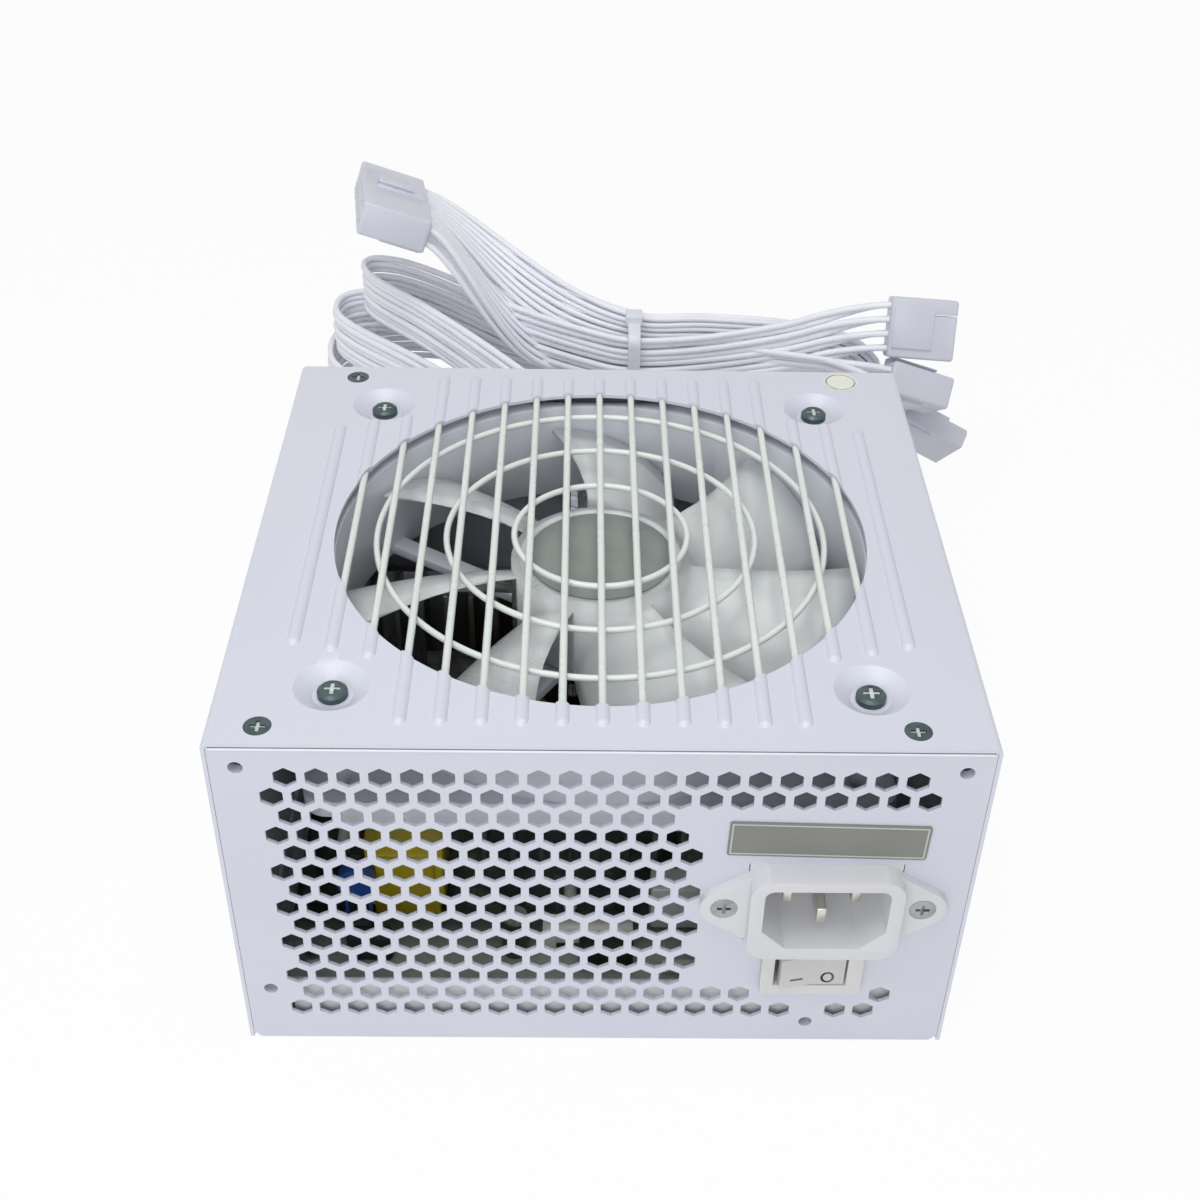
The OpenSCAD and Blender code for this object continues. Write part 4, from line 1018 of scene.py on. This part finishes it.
@dataclass
class IntakeFan:
    """Fan under the wire grille, with its motor and its two leads.

    Lengths are in millimetres.
    """

    strut_angle: float = 57.0
    lip_drop: float = 3.4
    lip_thick: float = 0.8
    lip_inset: float = 6.0
    lead_gap: float = 1.3
    lead_radius: float = 0.62

    def build(self) -> None:
        """Dresses the fan and adds its smooth rotor, its leads and its lip."""
        dress(GRILLE_ENAMEL, "fan_grille")
        softened("fan_frame", FAN_PLASTIC, "fan_plastic", 0.35)
        add_piece("fan_rotor_moulded", merged("fan_impeller"), [BLADE_PLASTIC], "blade_plastic",
                  Body.ROTOR, 42.0, "fan_impeller")
        dress(HUB_LABEL, "fan_sticker")
        dress(GROUND_STEEL, "fan_shaft")
        dress(SINTERED, "fan_bearing")
        dress(MAGNET, "fan_magnet")
        dress(VARNISH, "fan_stator")
        self.leads()
        self.air_lip()

    def air_lip(self) -> None:
        """Narrow lip under the frame's front edge, which keeps the air from turning back."""
        low, high = (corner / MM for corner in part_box("fan_frame"))
        shape = bmesh.new()
        block(shape, (high.x - low.x - 2 * self.lip_inset, self.lip_thick, self.lip_drop + 0.1),
              ((low.x + high.x) / 2, low.y + self.lip_thick / 2, low.z - self.lip_drop / 2 + 0.05), 0.2)
        add_piece("fan_air_lip", shape, [FAN_PLASTIC], "fan_plastic")

    def leads(self) -> None:
        """Two leads from the motor, along a strut and down to the board."""
        centre = middle("fan_frame")
        centre.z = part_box("fan_frame")[0].z
        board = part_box("main_pcb")[1].z
        spin = turn(self.strut_angle, "Z").to_3x3()
        lines = []
        for side in (-0.5, 0.5):
            across = side * self.lead_gap
            route = [(15.5, across, 3.6), (24, across, 2.9), (38, across, 2.9), (50, across, 2.8),
                     (55, across, 0.5), (55.5, across, -6), (52, across * 2, -16)]
            line = [centre + spin @ (Vector(p) * MM) for p in route]
            line.append(Vector((line[-1].x, line[-1].y, board)))
            lines.append(smooth_line(line, 6))
        add_piece("fan_leads", wires(lines, self.lead_radius), [LEAD_BLACK], "lead_brown", crease=60.0)


# ---- board ---------------------------------------------------------------------------------------

BOARD_MASK = Board("board_mask", (24, 34, 28), (18, 26, 22), roughness=0.3, drift_scale=40.0, coat=0.3,
                   grain_depth=0.05, dust=0.2)
# Drawn aluminium with its tone darkened as painted shade for the inside of the case.
SHADED_HEATSINK = Drawn("shaded_drawn_aluminium", (128, 130, 134), (106, 108, 112), roughness=0.3, metallic=0.9, wear=0.2,
                 drift_scale=60.0, grain_depth=0.012)
FERRITE = Finish("core_ferrite", (46, 45, 45), (35, 34, 34), roughness=0.62, drift_scale=90.0,
                 grain_depth=0.02, dust=0.25)
TAPE = Taped("yellow_tape", (190, 172, 24), (172, 154, 18), roughness=0.3, drift_scale=70.0,
             grain_depth=0.06, coat=0.35, dust=0.15)
SLEEVE_DARK = Finish("sleeve_dark", (26, 28, 40), (20, 22, 32), roughness=0.28, drift_scale=60.0,
                     grain=500.0, grain_depth=0.01, coat=0.4, dust=0.2)
SLEEVE_GREEN = SLEEVE_DARK.like("sleeve_green", (30, 46, 38), (24, 38, 31))
CHOKE_YELLOW = Finish("choke_yellow", (196, 182, 74), (176, 160, 60), roughness=0.5, drift_scale=90.0,
                      dust=0.2)
ENAMEL_COPPER = Drawn("enamelled_copper", (176, 104, 52), (128, 68, 30), roughness=0.28, metallic=0.7,
                      streak_scale=2400.0, grain_depth=0.01)
FILM_GREY = Finish("film_grey", (196, 198, 198), (180, 183, 184), roughness=0.3, drift_scale=80.0,
                   grain=600.0, grain_depth=0.02, coat=0.3, dust=0.15)
FILM_ORANGE = FILM_GREY.like("film_orange", (226, 132, 40), (206, 112, 30), roughness=0.32, drift_scale=90.0,
                             dust=0.0)
DISC_BLUE = Finish("disc_blue", (44, 92, 178), (34, 76, 156), roughness=0.3, drift_scale=150.0, grain=700.0,
                   grain_depth=0.03, coat=0.3)
PACKAGE = Finish("package_black", (32, 32, 34), (26, 26, 28), roughness=0.55, drift_scale=200.0,
                 grain=2500.0, grain_depth=0.01)
FUSE_BODY = Finish("fuse_ceramic", (222, 222, 216), (206, 206, 200), roughness=0.24, drift_scale=120.0,
                   coat=0.4)
INSULATION = Clear("insulation_film", (250, 251, 253), (242, 244, 247), roughness=0.34, drift_scale=20.0,
                   grain=300.0, grain_depth=0.03, through=0.3)
BRASS = Drawn("plain_brass", (190, 176, 122), (160, 146, 96), roughness=0.3, metallic=1.0)
SOLDER = Finish("solder", (176, 178, 180), (140, 142, 144), roughness=0.3, metallic=0.9, drift_scale=500.0,
                grain=900.0, grain_depth=0.02)
GLUE = Finish("white_glue", (228, 228, 222), (214, 213, 206), roughness=0.5, drift_scale=200.0, grain=300.0,
              grain_depth=0.1, ripple=1.5)
GROMMET = Finish("grommet_black", (44, 44, 46), (56, 56, 58), roughness=0.5, drift_scale=100.0,
                 grain_depth=0.01)


@dataclass
class PowerBoard:
    """Circuit board with its parts, windings, sinks and small components.

    Lengths are in millimetres.
    """

    board_top: float = field(init=False)

    def __post_init__(self) -> None:
        """Reads the board's height from the model."""
        self.board_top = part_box("main_pcb")[1].z / MM

    def build(self) -> None:
        """Dresses the large parts and adds the fine ones."""
        for node, finish in (
                ("main_pcb", BOARD_MASK), ("pcb_standoffs", BRASS), ("pcb_screws", BRIGHT_ZINC),
                ("insulation_sheet", INSULATION), ("cable_grommet", GROMMET), ("inlet_leads", LEAD_BROWN),
                ("toroid_choke", CHOKE_YELLOW), ("emi_choke", PACKAGE)):
            dress(finish, node)
        for node, finish, slot, width, segments in (
                ("heatsink_primary", SHADED_HEATSINK, "heatsink_alu", 0.25, 2),
                ("heatsink_secondary", SHADED_HEATSINK, "heatsink_alu", 0.25, 2),
                ("transformer_core", FERRITE, "ferrite", 0.5, 2),
                ("transformer_coil", TAPE, "tape_yellow", 2.0, 4),
                ("standby_transformer", TAPE, "tape_yellow", 0.9, 3),
                ("bulk_capacitors", SLEEVE_DARK, "cap_sleeve", 0.5, 2),
                ("output_capacitors", SLEEVE_GREEN, "cap_green", 0.4, 2),
                ("x_capacitor", FILM_GREY, "film_yellow", 0.8, 3),
                ("y_capacitor", DISC_BLUE, "disc_blue", 0.9, 3),
                ("power_transistors", PACKAGE, "package_black", 0.2, 1),
                ("output_rectifiers", PACKAGE, "package_black", 0.2, 1),
                ("line_fuse", FUSE_BODY, "fuse_glass", 0.4, 2)):
            softened(node, finish, slot, width, segments)
        self.ring_winding("ring_choke_winding", "toroid_choke", turns=30, wire=0.62, lying=True)
        self.ring_winding("line_choke_winding", "emi_choke", turns=22, wire=0.5, lying=False)
        self.small_parts()
        self.solder_points()
        self.output_leads()

    def ring_winding(self, name: str, node: str, turns: int, wire: float, lying: bool) -> None:
        """Winds wire around a ring core.

        Args:
            name: Name of the piece.
            node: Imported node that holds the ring.
            turns: Number of turns around the ring.
            wire: Radius of the wire in millimetres.
            lying: Whether the ring's axis is upright.
        """
        low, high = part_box(node)
        centre = middle(node)
        if lying:
            thick, half = 4.5 * MM, 6.0 * MM
            core = (high.x - low.x) / 2 - thick
            centre.z = high.z - half
            basis = Matrix.Identity(3)
        else:
            core, thick, half = 6.4 * MM, 2.5 * MM, 4.5 * MM
            centre.z = high.z - core - thick
            basis = turn(90, "Y").to_3x3()
        lines = []
        for k in range(turns):
            angle = math.tau * k / turns
            if abs(math.sin(angle)) < 0.16:
                continue
            loop = []
            for j in range(12):
                a = math.tau * j / 12
                flat = 1.0 / max(abs(math.cos(a)), abs(math.sin(a))) ** 0.75
                reach = core + (thick + wire * MM * 0.7) * math.cos(a) * flat
                lift = (half + wire * MM * 0.7) * math.sin(a) * flat
                lean = angle + 0.16 * j / 12 * (1 if lying else 1.4)
                loop.append(centre + basis @ Vector((reach * math.cos(lean), reach * math.sin(lean), lift)))
            loop.append(loop[0] + (loop[0] - loop[-1]) * 0.02)
            lines.append(smooth_line(loop, 2))
        add_piece(name, wires(lines, wire, 6), [ENAMEL_COPPER], "copper", crease=60.0)

    def small_parts(self) -> None:
        """Resistors, diodes, small cans, film capacitors, bars and chips between the large parts."""
        shape = bmesh.new()
        z = self.board_top
        resistors = ((-6, -38, 90), (30, -50, 0), (34, -34, 90), (-60, -18, 90), (-60, -2, 90), (-52, 4, 90),
                     (18, -58, 0), (-34, 20, 0), (52, 8, 90), (-44, 22, 0))
        cans = ((-18, -52, 3.2, 11), (44, -34, 4.0, 12), (-62, 12, 3.2, 11), (60, 18, 4.0, 13),
                (22, 30, 3.2, 10), (-6, 26, 2.6, 9), (-30, 24, 3.2, 11), (60, 30, 3.2, 11))
        chips = ((-50, -54, 10, 4, 8), (2, -56, 12, 5, 7))
        flat_chips = ((-8, -50, 6, 4), (50, -50, 8, 5), (-40, 50, 10, 6), (-26, 54, 6, 8))
        for x, y, spin in resistors:
            place = at(x, y, z + 1.6) @ turn(spin, "Z") @ turn(90, "Y")
            drum(shape, 1.5, 7.5, place, 16, 0.5)
            drum(shape, 0.35, 12.0, place, 8, material=1)
        for x, y, r, h in cans:
            drum(shape, r, h, at(x, y, z + h / 2), 28, 0.4, material=2)
            drum(shape, r * 0.84, 0.3, at(x, y, z + h), 28, material=1)
        block(shape, (4.5, 10, 11), (-53, 18, z + 5.5), 1.0, material=3)
        for x, y, w, d, h in chips:
            block(shape, (w, d, h), (x, y, z + h / 2), 1.0, material=4)
        for x, y, w, d in flat_chips:
            block(shape, (w, d, 3), (x, y, z + 1.8), 0.3, material=4)
        for x, y in ((30, -4), (30, 12), (50, 4)):
            block(shape, (5, 9, 4), (x + 2, y, z + 1.6), 1.6, material=5)
        add_piece("board_small_parts", shape,
                  [FUSE_BODY, TIN, SLEEVE_GREEN, FILM_ORANGE, PACKAGE, GLUE], "board")

    def solder_points(self) -> None:
        """Tops of the soldered legs around the parts."""
        shape = bmesh.new()
        z = self.board_top
        for i in range(14):
            for y in (-57.5, 60.0):
                drum(shape, 0.8, 0.9, at(-62 + i * 9.2, y, z + 0.3), 10, top_radius=0.35)
        add_piece("solder_points", shape, [SOLDER], "contact_metal")

    def output_leads(self) -> None:
        """Insulated leads from the board up to the cable window."""
        lines = []
        for k in range(24):
            column, row = k % 8, k // 8
            end = Vector((-4.5 + column * 2.4, 70.6, 37.5 + row * 5.6 + (column % 2) * 1.2))
            foot = Vector((-14 + column * 4.4 + row, 56.5 - row * 2.6, self.board_top))
            route = [foot, foot + Vector((0, 0.4, 9)), Vector(((foot.x + end.x) / 2, 58.5, 26 + row * 3)),
                     end + Vector((0, -7, -3.5)), end]
            lines.append(smooth_line([p * MM for p in route], 5))
        add_piece("output_leads", wires(lines, 0.8, 6), [LEAD_PALE], "cable_white", crease=60.0)


# ---- harness -------------------------------------------------------------------------------------

CABLE_SLEEVE = Waxy("cable_sleeve", (244, 246, 253), (236, 238, 247), roughness=0.42, drift=0.7,
                    drift_scale=55.0, wear=0.2, grain=1200.0, grain_depth=0.01, ripple=0.6)
NYLON = Waxy("connector_nylon", (209, 212, 223), (199, 202, 214), roughness=0.36, drift_scale=60.0,
             grain=1600.0, grain_depth=0.008, wear=0.16, spread=0.2)
TIE_NYLON = Waxy("tie_nylon", (230, 233, 241), (221, 224, 233), roughness=0.3, drift_scale=80.0,
                 grain=1800.0, grain_depth=0.006)
UPWARD = Vector((0.0, 0.0, 1.0))


class Plug(Enum):
    """Kinds of connector at a cable's far end."""

    CRIMP = "two rows of square sockets"
    DRIVE = "one row of four round sockets"


@dataclass
class FlatCable:
    """Insulated wires side by side, which spread into the sockets of a connector.

    Lengths are in millimetres. The route and the roll repeat the model's own.
    """

    name: str
    route: list[Triple]
    roll: list[float]
    place: Triple
    angles: Triple
    length: float
    columns: int = 8
    rows: int = 1
    plug: Plug = Plug.CRIMP
    quarter: Triple = (0.0, 0.0, 0.0)
    spread: float = 24.0
    pitch: float = 1.95
    wire_radius: float = 0.965
    contact_pitch: float = 4.2
    drive_pitch: float = 5.08
    contact: Triple = (5.0, 1.9, 1.9)
    housing: float = 19.6
    wobble: float = 0.22
    hanging: int = 0
    hang: float = 0.0
    steps: int = 7

    def __post_init__(self) -> None:
        """Works out the connector's frame and the run of the cable."""
        self.seat = at(*self.place) @ scad_turn(*self.angles) @ scad_turn(*self.quarter)
        self.back = -10.0 if self.plug is Plug.DRIVE else -self.housing / 2
        end = self.seat @ (Vector((self.back + 1.0, 0.0, 0.0)) * MM)
        self.line = smooth_line([Vector(p) * MM for p in self.route] + [end], self.steps)
        self.run = [0.0]
        for first, second in zip(self.line, self.line[1:]):
            self.run.append(self.run[-1] + (second - first).length)

    def frames(self) -> list[tuple[Vector, Vector, Vector]]:
        """Centreline points with the ribbon's width and thickness directions.

        Returns:
            A point, a width direction and a thickness direction for each step.
        """
        made = []
        last = len(self.line) - 1
        for i, point in enumerate(self.line):
            along = (self.line[min(i + 1, last)] - self.line[max(i - 1, 0)]).normalized()
            upright = (UPWARD - along * along.dot(UPWARD)).normalized()
            knot, part = divmod(i, self.steps)
            after = min(knot + 1, len(self.roll) - 1)
            roll = math.radians(self.roll[knot] + (self.roll[after] - self.roll[knot]) * part / self.steps)
            width = upright * math.cos(roll) + along.cross(upright) * math.sin(roll)
            made.append((point, width, along.cross(width)))
        return made

    def socket(self, column: int, row: int, flip: tuple[int, int]) -> Vector:
        """Place of a wire's socket in the connector's own frame, in millimetres.

        Args:
            column: The wire's column.
            row: Its row.
            flip: Signs that keep the wires from crossing, across and through.

        Returns:
            The place.
        """
        if self.plug is Plug.DRIVE:
            slot, side = divmod(column, 2)
            return Vector((self.back + 1.0, (side - 0.5) * 1.8 * flip[1],
                           (slot - 1.5) * self.drive_pitch * flip[0]))
        slot, side = divmod(column, 2) if self.rows == 1 else (column, row)
        return Vector((self.back + 1.0, (side - 0.5) * self.contact_pitch * flip[1],
                       (slot - (self.slots() - 1) / 2) * self.contact_pitch * flip[0]))

    def slack(self, goal: Vector) -> float:
        """Share of the full hang for a wire: 1 at the connector's near end and 0 at its far end.

        Args:
            goal: The wire's socket in the connector's own frame, in millimetres.

        Returns:
            The share, from 0 to 1.
        """
        if not self.hanging:
            return 0.0
        from_near = (self.seat.to_3x3() @ Vector((0, 0, goal.z))).y / self.contact_pitch + self.columns / 2
        if from_near < self.hanging:
            return 1.0 - 0.06 * from_near
        return 0.52 * (self.columns - from_near) / (self.columns - self.hanging)

    def fan_out(self, root: list[Vector], goal: Vector, count: int) -> list[Vector]:
        """Runs one wire from the ribbon's end into its socket.

        Args:
            root: The wire's points so far.
            goal: Its socket in the connector's own frame, in millimetres.
            count: Number of points to add.

        Returns:
            The added points.
        """
        start, end = root[-1], self.seat @ (goal * MM)
        reach = (end - start).length
        leave = (start - root[-3]).normalized() * reach * 0.9
        enter = (self.seat.to_3x3() @ Vector((1, 0, 0))) * reach * 0.75
        drop = UPWARD * self.hang * MM * self.slack(goal)
        added = []
        for k in range(1, count + 1):
            t = k / count
            added.append(start * (2 * t ** 3 - 3 * t * t + 1) + leave * (t ** 3 - 2 * t * t + t)
                         + end * (3 * t * t - 2 * t ** 3) + enter * (t ** 3 - t * t)
                         - drop * 16 * t * t * (1 - t) ** 2)
        return added

    def wire_lines(self) -> list[tuple[float, list[Vector], int]]:
        """Centrelines of all wires.

        Returns:
            For each wire the distance in millimetres that it strays from the cable's middle, its
            points, and the index at which it starts to spread.
        """
        frames = self.frames()
        wide = frames[-1][1].dot(self.seat.to_3x3() @ Vector((0, 0, 1)))
        thick = frames[-1][2].dot(self.seat.to_3x3() @ Vector((0, 1, 0)))
        flip = (1 if wide > 0 else -1, 1 if thick > 0 else -1)
        total = self.run[-1]
        start = next(i for i, s in enumerate(self.run) if total - s <= self.spread * MM)
        core = [point for point, _, _ in frames[start - 8:]]
        made = []
        for column in range(self.columns):
            for row in range(self.rows):
                lane = (column - (self.columns - 1) / 2) * self.pitch
                level = (row - (self.rows - 1) / 2) * self.pitch * 1.04
                phase = 2.1 * column + 3.7 * row + len(self.name)
                goal = self.socket(column, row, flip)
                line = []
                for i, (point, width, depth) in enumerate(frames[:start + 1]):
                    free = soft_step(self.run[i] / (30 * MM)) * self.wobble
                    sway = free * math.sin(phase + self.run[i] / MM / 23.0)
                    heave = 1.5 * free * math.sin(1.7 * phase + self.run[i] / MM / 31.0)
                    line.append(point + (width * (lane + sway) + depth * (level + heave)) * MM)
                line += self.fan_out(line, goal, len(frames) - 1 - start)
                stray = max(min((point - mid).length for mid in core) for point in line[start:])
                made.append((stray / MM, line, start))
        return made

    def slots(self) -> int:
        """Number of contacts in one row of the connector."""
        return self.columns if self.rows == 2 else self.columns // 2

    def latch_web(self) -> Piece:
        """Web on which the connector's latch rocks, set back from the latch's sides.

        Returns:
            The web.
        """
        shape = bmesh.new()
        block(shape, (self.housing - 9.5, 0.64, 5.0), (0.25, self.contact_pitch + 1.8, 0.0), place=self.seat)
        return add_piece(f"{self.name}_latch_web", shape, [NYLON], "connector_white")

    def contacts(self) -> Piece:
        """Tinned contacts inside the connector's sockets.

        Returns:
            The contacts.
        """
        shape = bmesh.new()
        if self.plug is Plug.DRIVE:
            for slot in range(4):
                place = self.seat @ at(6.5, 0, (slot - 1.5) * self.drive_pitch) @ turn(90, "Y")
                drum(shape, 1.25, 5.0, place, 16, 0.2)
        else:
            for slot in range(self.slots()):
                for side in (-0.5, 0.5):
                    lift = (slot - (self.slots() - 1) / 2) * self.contact_pitch
                    block(shape, self.contact, (0, 0, 0), 0.3,
                          place=self.seat @ at(5.2, side * self.contact_pitch, lift))
        return add_piece(f"{self.name}_contacts", shape, [TIN], "contact_metal")

    def connector(self) -> list[Piece]:
        """Adds the connector's housing, its contacts and its latch.

        Returns:
            The pieces.
        """
        node = f"{self.name}_connector"
        if self.plug is Plug.DRIVE:
            return [softened(node, NYLON, "connector_white", 0.5, 3), self.contacts()]
        half = (self.housing / 2, self.contact_pitch + 0.6, (self.slots() * self.contact_pitch + 1.0) / 2)
        housing = softened(node, NYLON, "connector_white", 0.2, box=(self.seat, half, 0.9))
        return [housing, self.contacts(), self.latch_web()]

    def build(self, *more: Piece) -> None:
        """Adds the cable, its connector and its contacts.

        Args:
            more: Further pieces that lie on this cable.
        """
        on_cable = [*self.connector(), *more]
        reach = self.columns * self.pitch * 0.65
        lines, outer = [], []
        for stray, line, start in self.wire_lines():
            if stray > reach and self.rows == 2:
                lines.append(line[:start + 1])
                outer.append(line[start:])
            else:
                lines.append(line)
        looks = {"finishes": [CABLE_SLEEVE], "slot": "cable_white", "crease": 60.0}
        piece = add_piece(f"{self.name}_cable_wires", wires(lines, self.wire_radius),
                          stands_for=f"{self.name}_cable", **looks)
        if outer:
            on_cable.append(add_piece(f"{self.name}_outer_leads", wires(outer, self.wire_radius), **looks))
        LOG.info("%s cable runs %.1f mm", self.name, self.run[-1] / MM)


@dataclass
class Harness:
    """The four tied cables with their connectors."""

    def build(self) -> None:
        """Adds the tie and the four cables."""
        tie = softened("cable_tie", TIE_NYLON, "tie_white", 0.4)
        FlatCable(
            "pcie", [(-3, 71, 47), (-4, 84, 50), (-12, 98, 54), (-33, 121, 58), (-52, 143, 59),
                     (-66, 158, 59), (-71, 167, 59), (-69, 174, 58), (-60, 174, 57), (-46, 166, 56),
                     (-24, 150, 54), (-4, 139, 53), (11, 135, 52), (32, 134, 54), (56, 136, 57),
                     (74, 140, 60)],
            [0] * 14 + [-8, -18, -26], (96.3, 141, 60.5), (-26, 2, -4), 300.0).build(tie)
        FlatCable(
            "cpu", [(0, 71, 45), (-1, 84, 44), (-10, 96, 44), (-34, 117, 44), (-56, 139, 44),
                    (-74, 156, 44), (-81, 167, 44), (-79, 177, 44), (-68, 178, 45), (-50, 170, 47),
                    (-24, 153, 49), (-4, 142, 50), (11, 138, 50), (32, 137, 50), (56, 136, 49),
                    (74, 135, 49)],
            [0] * 14 + [15, 35, 52], (94.6, 135.4, 43.5), (52, 18, 0), 318.0).build()
        FlatCable(
            "drive", [(3, 71, 41), (2, 84, 39), (-8, 94, 34), (-34, 114, 30), (-58, 137, 29),
                      (-78, 155, 29), (-84, 167, 29), (-82, 180, 30), (-70, 182, 33), (-52, 174, 38),
                      (-24, 156, 44), (-4, 145, 47), (11, 141, 48), (32, 141, 46), (56, 143, 40),
                      (78, 146, 32)],
            [0] * 14 + [10, 25, 38], (104, 147, 21), (38, 24, -12), 346.0, plug=Plug.DRIVE).build()
        FlatCable(
            "atx", [(9, 71, 44), (9, 83, 38), (3, 96, 26), (-14, 113, 14), (-36, 133, 11),
                    (-60, 150, 11), (-77, 162, 11), (-83, 172, 11), (-78, 181, 11), (-62, 180, 11),
                    (-38, 168, 11), (-10, 158, 11), (20, 154, 11), (48, 156, 12), (68, 159, 16),
                    (79, 157, 24), (81, 152, 34), (72, 149, 44), (54, 147, 49), (32, 146, 51),
                    (11, 145, 52), (-8, 149, 60), (-19, 154, 69), (-30, 157, 76), (-41, 159, 82)],
            [0] * 21 + [10, 24, 42, 62, 80], (-60.6, 158.8, 89.4), (-11, 20, 4), 495.0,
            columns=12, rows=2, pitch=1.75, wire_radius=0.87, quarter=(90, 0, 180), spread=72.0,
            hanging=5, hang=15.5, wobble=0.12).build()


# ---- studio --------------------------------------------------------------------------------------


@dataclass
class Studio:
    """White floor and surroundings, soft lamps, and the camera."""

    eye: Triple = (-5.2, -296.3, 295.7)
    pitch: float = -37.73
    roll: float = -0.93
    yaw: float = -0.31
    lens: float = 49.56
    world_level: float = 0.45
    floor_glow: float = 0.93
    floor_half: float = 6.0

    def build(self) -> None:
        """Adds the camera, the floor, the surroundings and the lamps."""
        self.camera()
        self.floor()
        self.surroundings()
        self.lamp("overhead_lamp", (-60, -150, 720), 2.1, 460)
        self.lamp("front_lamp", (-160, -740, 420), 2.3, 560)
        bpy.context.scene.view_settings.view_transform = "Standard"

    def camera(self) -> None:
        """Places the camera above and in front of the inlet panel."""
        lens = bpy.data.cameras.new("camera")
        lens.lens = self.lens
        lens.sensor_width = 36.0
        lens.clip_start = 0.01
        holder = bpy.data.objects.new("camera", lens)
        holder.matrix_world = (at(*self.eye) @ turn(self.yaw, "Z") @ turn(self.roll, "Y")
                               @ turn(self.pitch + 90.0, "X"))
        bpy.context.scene.collection.objects.link(holder)
        bpy.context.scene.camera = holder

    def lamp(self, name: str, place: Triple, watts: float, size: float) -> None:
        """Adds a soft square lamp that faces the middle of the object.

        Args:
            name: Name of the lamp.
            place: Its place in millimetres.
            watts: Its power.
            size: Its side in millimetres.
        """
        light = bpy.data.lights.new(name, "AREA")
        light.energy = watts
        light.size = size * MM
        holder = bpy.data.objects.new(name, light)
        spot = Vector(place) * MM
        aim = (Vector((0, 0.02, 0.05)) - spot).to_track_quat("-Z", "Y")
        holder.matrix_world = Matrix.Translation(spot) @ aim.to_matrix().to_4x4()
        bpy.context.scene.collection.objects.link(holder)

    @staticmethod
    def seen_directly(tree: Tree) -> Socket:
        """1 for camera, glossy and transmitted rays, and 0 for the light that falls on the object.

        Args:
            tree: Node tree that gets the nodes.

        Returns:
            The mask.
        """
        path = tree.nodes.new("ShaderNodeLightPath")
        either = math_node(tree, "MAXIMUM", path.outputs["Is Camera Ray"], path.outputs["Is Glossy Ray"])
        return math_node(tree, "MAXIMUM", either, path.outputs["Is Transmission Ray"])

    def floor(self) -> None:
        """Adds the white floor, which keeps a soft shadow."""
        shape = bmesh.new()
        bmesh.ops.create_grid(shape, x_segments=1, y_segments=1, size=self.floor_half, matrix=at(0, 0, -0.3))
        mesh = bpy.data.meshes.new("floor")
        shape.to_mesh(mesh)
        shape.free()
        material = bpy.data.materials.new("floor_white")
        material.use_nodes = True
        tree = material.node_tree
        matt = tree.nodes["Principled BSDF"]
        for name, value in {"Base Color": (0.9, 0.9, 0.9, 1.0), "Roughness": 0.9,
                            "Specular IOR Level": 0.1}.items():
            matt.inputs[name].default_value = value
        glow = add_node(tree, "Emission", {"Strength": 1.0})
        share = times(tree, self.seen_directly(tree), self.floor_glow)
        blend = add_node(tree, "MixShader", {0: share, 1: matt.outputs[0], 2: glow})
        tree.links.new(blend, tree.nodes["Material Output"].inputs["Surface"])
        mesh.materials.append(material)
        holder = bpy.data.objects.new("floor", mesh)
        bpy.context.scene.collection.objects.link(holder)

    def surroundings(self) -> None:
        """Lights the object evenly and shows plain white behind it."""
        world = bpy.data.worlds.new("studio")
        bpy.context.scene.world = world
        world.use_nodes = True
        tree = world.node_tree
        back = tree.nodes["Background"]
        back.inputs["Color"].default_value = (1.0, 1.0, 1.0, 1.0)
        level = plus(tree, times(tree, self.seen_directly(tree), 1.0 - self.world_level), self.world_level)
        tree.links.new(level, back.inputs["Strength"])


def main() -> None:
    """Builds every sub-assembly in order."""
    logging.basicConfig(level=logging.INFO, format="%(name)s: %(message)s", stream=sys.stdout)
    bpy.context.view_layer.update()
    Studio().build()
    Harness().build()
    Housing().build()
    MainsEntry().build()
    IntakeFan().build()
    PowerBoard().build()


if __name__ == "__main__":
    main()
